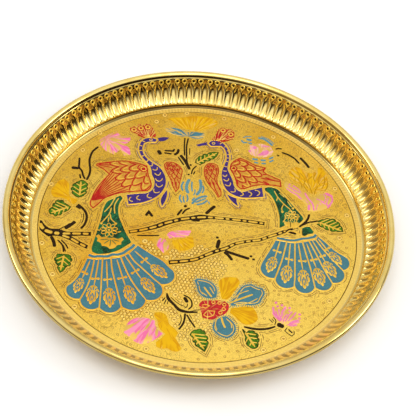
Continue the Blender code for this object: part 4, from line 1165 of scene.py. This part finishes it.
def scale_net(relief, echo, outline, centre, size, long_from, tips):
    """Rows of pointed scales in rings round a centre, then long feathers out to the edge."""
    edge = offset(smooth(outline, True, 2.0), 0.8, True)
    reach = max(math.dist(centre, point) for point in edge)
    large = size > 5

    def draw(path, relief=relief, width=NET_WIDTH if large else 0.7):
        """The stretches of a path that lie inside the edge, as lines."""
        for run in stretches(path, inside(path, edge)):
            relief.line(run, width, 0.10, curve=False)

    def scale(rise, middle, half, steps):
        """Pointed arch that rises from the row's ring and spans half an angle to each side."""
        return [spoke(centre, radius + rise * (1 - (k / steps) ** 2), middle + half * k / steps)
                for k in range(-steps, steps + 1)]

    row = 0
    radius = 0.5 * size
    while radius < min(long_from, reach):
        half = 0.5 * size / radius
        for i in range(int(math.pi / half) + 1):
            middle = (2 * i + row % 2) * half
            draw(scale(size, middle, half, 6))
            spot = spoke(centre, radius + 0.45 * size, middle)
            if large:
                draw(scale(0.66 * size, middle, 0.6 * half, 4), echo, 0.8)
            elif row < 4 and inside([spot], edge)[0]:
                relief.dot(spot, 0.24 * size, 0.10, 1.4, middle)
        radius += size
        row += 1
    for tip, first, last, count in tips:
        for angle in np.radians(np.linspace(first, last, count)):
            start = spoke(centre, radius - 0.2 * size, angle)
            steps = max(3, int(0.95 * math.dist(start, tip) / CURVE_STEP))
            draw(between(start, tip, np.linspace(0, 0.95, steps + 1)), width=0.75)
    if not tips and long_from < reach:
        half = 0.32 * size / radius
        for i in range(int(math.pi / half) + 1):
            angle = 2 * i * half
            draw([spoke(centre, radius + CURVE_STEP * k, angle + 0.004 * k)
                  for k in range(int((reach - radius) / CURVE_STEP) + 2)])
            draw([spoke(centre, radius + CURVE_STEP * k, angle + half)
                  for k in range(4, int(reach - radius))])


def add_wings():
    """Red net of scales and feathers on the coppery ground of the wings, shoulders and crests."""
    red = Relief()
    echo = Relief()
    for name, (centre, size, long_from) in WINGS.items():
        scale_net(red, echo, OUTLINES[name], centre, size, long_from, WING_TIPS.get(name, ()))
        edge = offset(smooth(OUTLINES[name], True), 0.5, True)
        red.line(edge, 0.6 if "far" in name else 0.85, 0.10, True, False)
    for centre, inner, outer in SHOULDERS:
        red.dot(centre, inner, 0.16)
        red.ring(centre, outer, 0.8, 0.12)
    for name in ("left_crest", "right_crest"):
        root = BRUSHED[name][0]
        far = [point for point in smooth(OUTLINES[name], True, 0.6) if math.dist(point, root) > 5]
        for i, end in enumerate(far[::max(1, len(far) // CREST_STROKES)]):
            path = between(root, end, np.linspace(0.3 + 0.2 * (i % 2), 1, 16))
            for part in stretches(path, nearest(path, CREST_DOTS) > CREST_RING):
                red.line(part, 0.7, 0.10, curve=False)
    for centre in CREST_DOTS:
        red.ring(centre, CREST_RING, 0.55, 0.10)
        red.dot(centre, 1.0, 0.08, lift=0.10)
    red.piece("wing_net", LOOKS["red"], "red")
    echo.piece("wing_gold", LOOKS["gold"], "brass")


def add_leaf_veins():
    """Gold rib of each leaf, with veins that run out to its edge on both sides."""
    gold = Relief()
    for name, (stalk, tip) in LEAF_RIBS.items():
        rib = np.subtract(tip, stalk)
        length = np.hypot(*rib)
        along = rib / length
        across = np.array([-along[1], along[0]])
        gold.line([stalk, tip], 1.3 if name == "top_leaf" else 1.4, 0.12)
        count = max(3, int(length / VEIN_SPACING))
        for i in range(count):
            for side in (-1, 1):
                start = end = stalk + rib * max(i, 0.15) / count
                while inside([end + 0.8 * (along + side * across)], OUTLINES[name])[0]:
                    end = end + 0.3 * (0.75 * along + side * across)
                if math.dist(start, end) > 1.0:
                    gold.line([start, end], 0.85, 0.10)
    gold.piece("leaf_veins", LOOKS["gold"], "brass")


def fringe(relief, outline):
    """Short strokes that stand out from an outline like frayed brush marks."""
    path = smooth(outline, True, FRINGE_SPACING)
    for i, (start, end) in enumerate(zip(path, offset(path, -1.0, True))):
        relief.line(between(start, end, (-0.3, 1.7 + 0.7 * math.sin(2.3 * i))), 0.45, 0.10)


def add_petal_lines():
    """Gold streaks and inner contours on the petals, and the frayed edges of the blue ones."""
    gold = Relief()
    gold.lines(PETAL_STREAKS, 0.10)
    outline = smooth(OUTLINES["top_yellow_flower"], True, 1.0)
    for end in outline[::5]:
        path = between(TOP_FLOWER_ROOT, end, (0.35, 0.55, 0.75, 0.9))
        if end[1] > 94 and inside(path, outline).all():
            gold.line(path, 0.5, 0.08)
    frayed = Relief(FLOOR)
    for name in FRAYED:
        fringe(frayed, OUTLINES[name])
        edge = smooth(OUTLINES[name], True)
        contour = offset(edge, 1.6, True)
        clear = (nearest(contour, edge) > 1.5) & (nearest(contour, [FLOWER_CENTRE]) > FLOWER_CENTRE_REACH)
        for run in stretches(contour, clear):
            gold.line(run, 0.6, 0.10, curve=False)
    gold.piece("petal_gold", LOOKS["gold"], "brass")
    frayed.piece("petal_fringes", LOOKS["light_blue"], "light_blue")


def near_paths(points, margin):
    """Which of the points lie within the margin of the pink wash, a stem, stroke or punched ring."""
    taken = nearest(points, [np.mean(PINK_WASH, axis=0)]) < margin + WASH_REACH
    for width, path in TWIGS + BLUE_STROKES:
        taken |= nearest(points, smooth(path)) < margin + width / 2
    return taken | (nearest(points, PUNCHES) < margin + PUNCH_REACH)


def near_forms(points, margin):
    """Which of the points lie within the margin of an enamel form, on it or beyond the ground."""
    taken = nearest(points, [(0, 0)]) > FRAME_LINE_RADIUS - margin - 0.8
    for outline in OUTLINES.values():
        taken |= inside(points, offset(smooth(outline, True, 1.5), -margin, True))
    return taken


def add_ground_lines():
    """Broken lines cut in the ground that echo the forms, in two rows."""
    lines = Relief(FLOOR)
    shades = Relief(FLOOR)
    for name, finish in ENAMELLED.items():
        if name in BRUSHED:
            continue
        outline = smooth(OUTLINES[name], True, 0.8)
        for row, distance in enumerate(ECHO_DISTANCES):
            path = offset(outline, -distance, True)
            gaps = (np.arange(len(path)) + 3 * row) % 14 == 0
            blocked = near_forms(path, 0.92 * distance) | near_paths(path, 0.8) | gaps
            target = shades if finish == "indigo" and row == 0 else lines
            for run in stretches(path, ~blocked, 4):
                target.line(run, 0.5, 0.07, curve=False)
    lines.piece("ground_lines", LOOKS["cut"], "brass")
    shades.piece("body_echo_lines", LOOKS["indigo"], "indigo")


def add_punches():
    """Punched rings: large ones, a close field of small ones, and dots over the bare ground."""
    rings = Relief(FLOOR)
    hollows = Relief(FLOOR)
    shades = Relief(FLOOR)
    spread = np.random.default_rng(7)
    across, down = FIELD_PITCH
    close = [(x + 0.5 * across * (row % 2), y) for row, y in enumerate(np.arange(-104, -4, down))
             for x in np.arange(-46, 22, across)]
    close = np.array([point for point in close if math.dist(point, FIELD_CENTRE) < FIELD_RADIUS])
    close = close + spread.uniform(-0.35, 0.35, close.shape)
    close = close[~(near_forms(close, 1.5) | near_paths(close, 1.2))]
    for centre in PUNCHES:
        rings.ring(centre, 1.35, 0.8)
        hollows.dot(centre, 0.9, 0.05)
        hollows.ring(centre, 1.95, 0.4, 0.05)
    for centre in close:
        rings.ring(centre, 0.66, 0.55, 0.12)
        shades.ring(centre, 1.12, 0.34, 0.04)
    across, down = DOT_PITCH
    dots = np.array([((column + 0.5 * (row % 2)) * across, row * down)
                     for row in range(-20, 21) for column in range(-18, 19)])
    dots = dots + spread.uniform(-1.6, 1.6, dots.shape)
    dots = dots[~(near_forms(dots, 1.8) | near_paths(dots, 1.4))]
    for centre in dots:
        if math.dist(centre, FIELD_CENTRE) > FIELD_RADIUS + 1:
            hollows.ring(centre, 0.75, 0.5, 0.06)
    rings.piece("punch_rings", LOOKS["pale_gold"], "brass")
    hollows.piece("punch_hollows", LOOKS["punched"], "brass")
    shades.piece("punch_field_hollows", LOOKS["cut"], "brass")


# Stage, light and camera


def add_floor():
    bpy.ops.mesh.primitive_plane_add(size=6.0, location=(0, 0, -0.0002))
    floor = bpy.context.object
    floor.name = "studio_floor"
    finish = Finish("studio_floor")
    grain = finish.noise(90, 2.0).blend((0.90, 0.90, 0.90), (0.93, 0.93, 0.93))
    material = finish.done({"Base Color": grain, "Roughness": 0.9, "Specular IOR Level": 0.1})
    floor.data.materials.append(material)


def add_world():
    """Studio: brightest above on the camera's side, dark along the horizon to the right of it."""
    world = bpy.data.worlds.new("studio")
    bpy.context.scene.world = world
    world.use_nodes = True
    background = world.node_tree.nodes["Background"]
    x, y, z = add(world.node_tree, "ShaderNodeTexCoord", {}, "Generated").parts()
    sky = y.over(0.15, -0.35).blend((1.0, 0.98, 0.95), (1.12, 1.10, 1.06))
    sky = (z.over(0.88, 0.62, 0.0, 0.30) * y.over(0.0, 0.4)).blend(sky, (0.25, 0.24, 0.22))
    horizon = x.over(0.1, -0.6).blend((0.045, 0.028, 0.012), (0.30, 0.22, 0.12))
    horizon = y.over(0.25, 0.6).blend(horizon, (0.75, 0.72, 0.66))
    feed(background.inputs["Color"], z.over(0.28, 0.58).blend(horizon, sky))
    background.inputs["Strength"].default_value = 1.0


def add_lamp(name, size, power, location):
    data = bpy.data.lights.new(name, "AREA")
    data.shape = "SQUARE"
    data.size = size
    data.energy = power
    lamp = bpy.data.objects.new(name, data)
    lamp.location = location
    aim = Vector((0, 0, 0)) - Vector(location)
    lamp.rotation_euler = aim.to_track_quat("-Z", "Y").to_euler()
    bpy.context.scene.collection.objects.link(lamp)


def add_camera():
    """Camera placed by its distance, elevation and roll, with the photo's small shift as a move."""
    back = Vector((0, -math.cos(CAMERA_ELEVATION), math.sin(CAMERA_ELEVATION)))
    level = Vector((1, 0, 0))
    upward = Vector((0, math.sin(CAMERA_ELEVATION), math.cos(CAMERA_ELEVATION)))
    right = math.cos(CAMERA_ROLL) * level + math.sin(CAMERA_ROLL) * upward
    up = -math.sin(CAMERA_ROLL) * level + math.cos(CAMERA_ROLL) * upward
    centre = back * CAMERA_DISTANCE - right * CAMERA_ACROSS - up * CAMERA_UP
    centre = (centre + Vector((0, 0, FLOOR))) * MM
    data = bpy.data.cameras.new("camera")
    data.sensor_width = SENSOR_WIDTH
    data.lens = FOCAL_PIXELS / FRAME_PIXELS * SENSOR_WIDTH
    data.clip_start = 0.05
    camera = bpy.data.objects.new("camera", data)
    rotation = Matrix((right, up, back)).transposed()
    camera.matrix_world = Matrix.Translation(centre) @ rotation.to_4x4()
    bpy.context.scene.collection.objects.link(camera)
    bpy.context.scene.camera = camera


def main():
    NODES["rim_wire"].data.materials.clear()
    NODES["rim_wire"].data.materials.append(LOOKS["steel"])
    add_pan()
    add_rim_punches()
    add_enamel()
    add_stems()
    add_strokes()
    add_bird_gold()
    add_tail_gold()
    add_wings()
    add_leaf_veins()
    add_petal_lines()
    add_ground_lines()
    add_punches()
    add_floor()
    add_world()
    add_lamp("overhead_lamp", 0.75, 3.5, (0.0, -0.35, 1.2))
    add_lamp("right_lamp", 0.55, 3.6, (1.09, 0.10, 0.74))
    add_lamp("left_lamp", 0.45, 2.0, (-1.05, 0.15, 0.74))
    add_camera()
    bpy.context.scene.view_settings.view_transform = "Standard"


main()
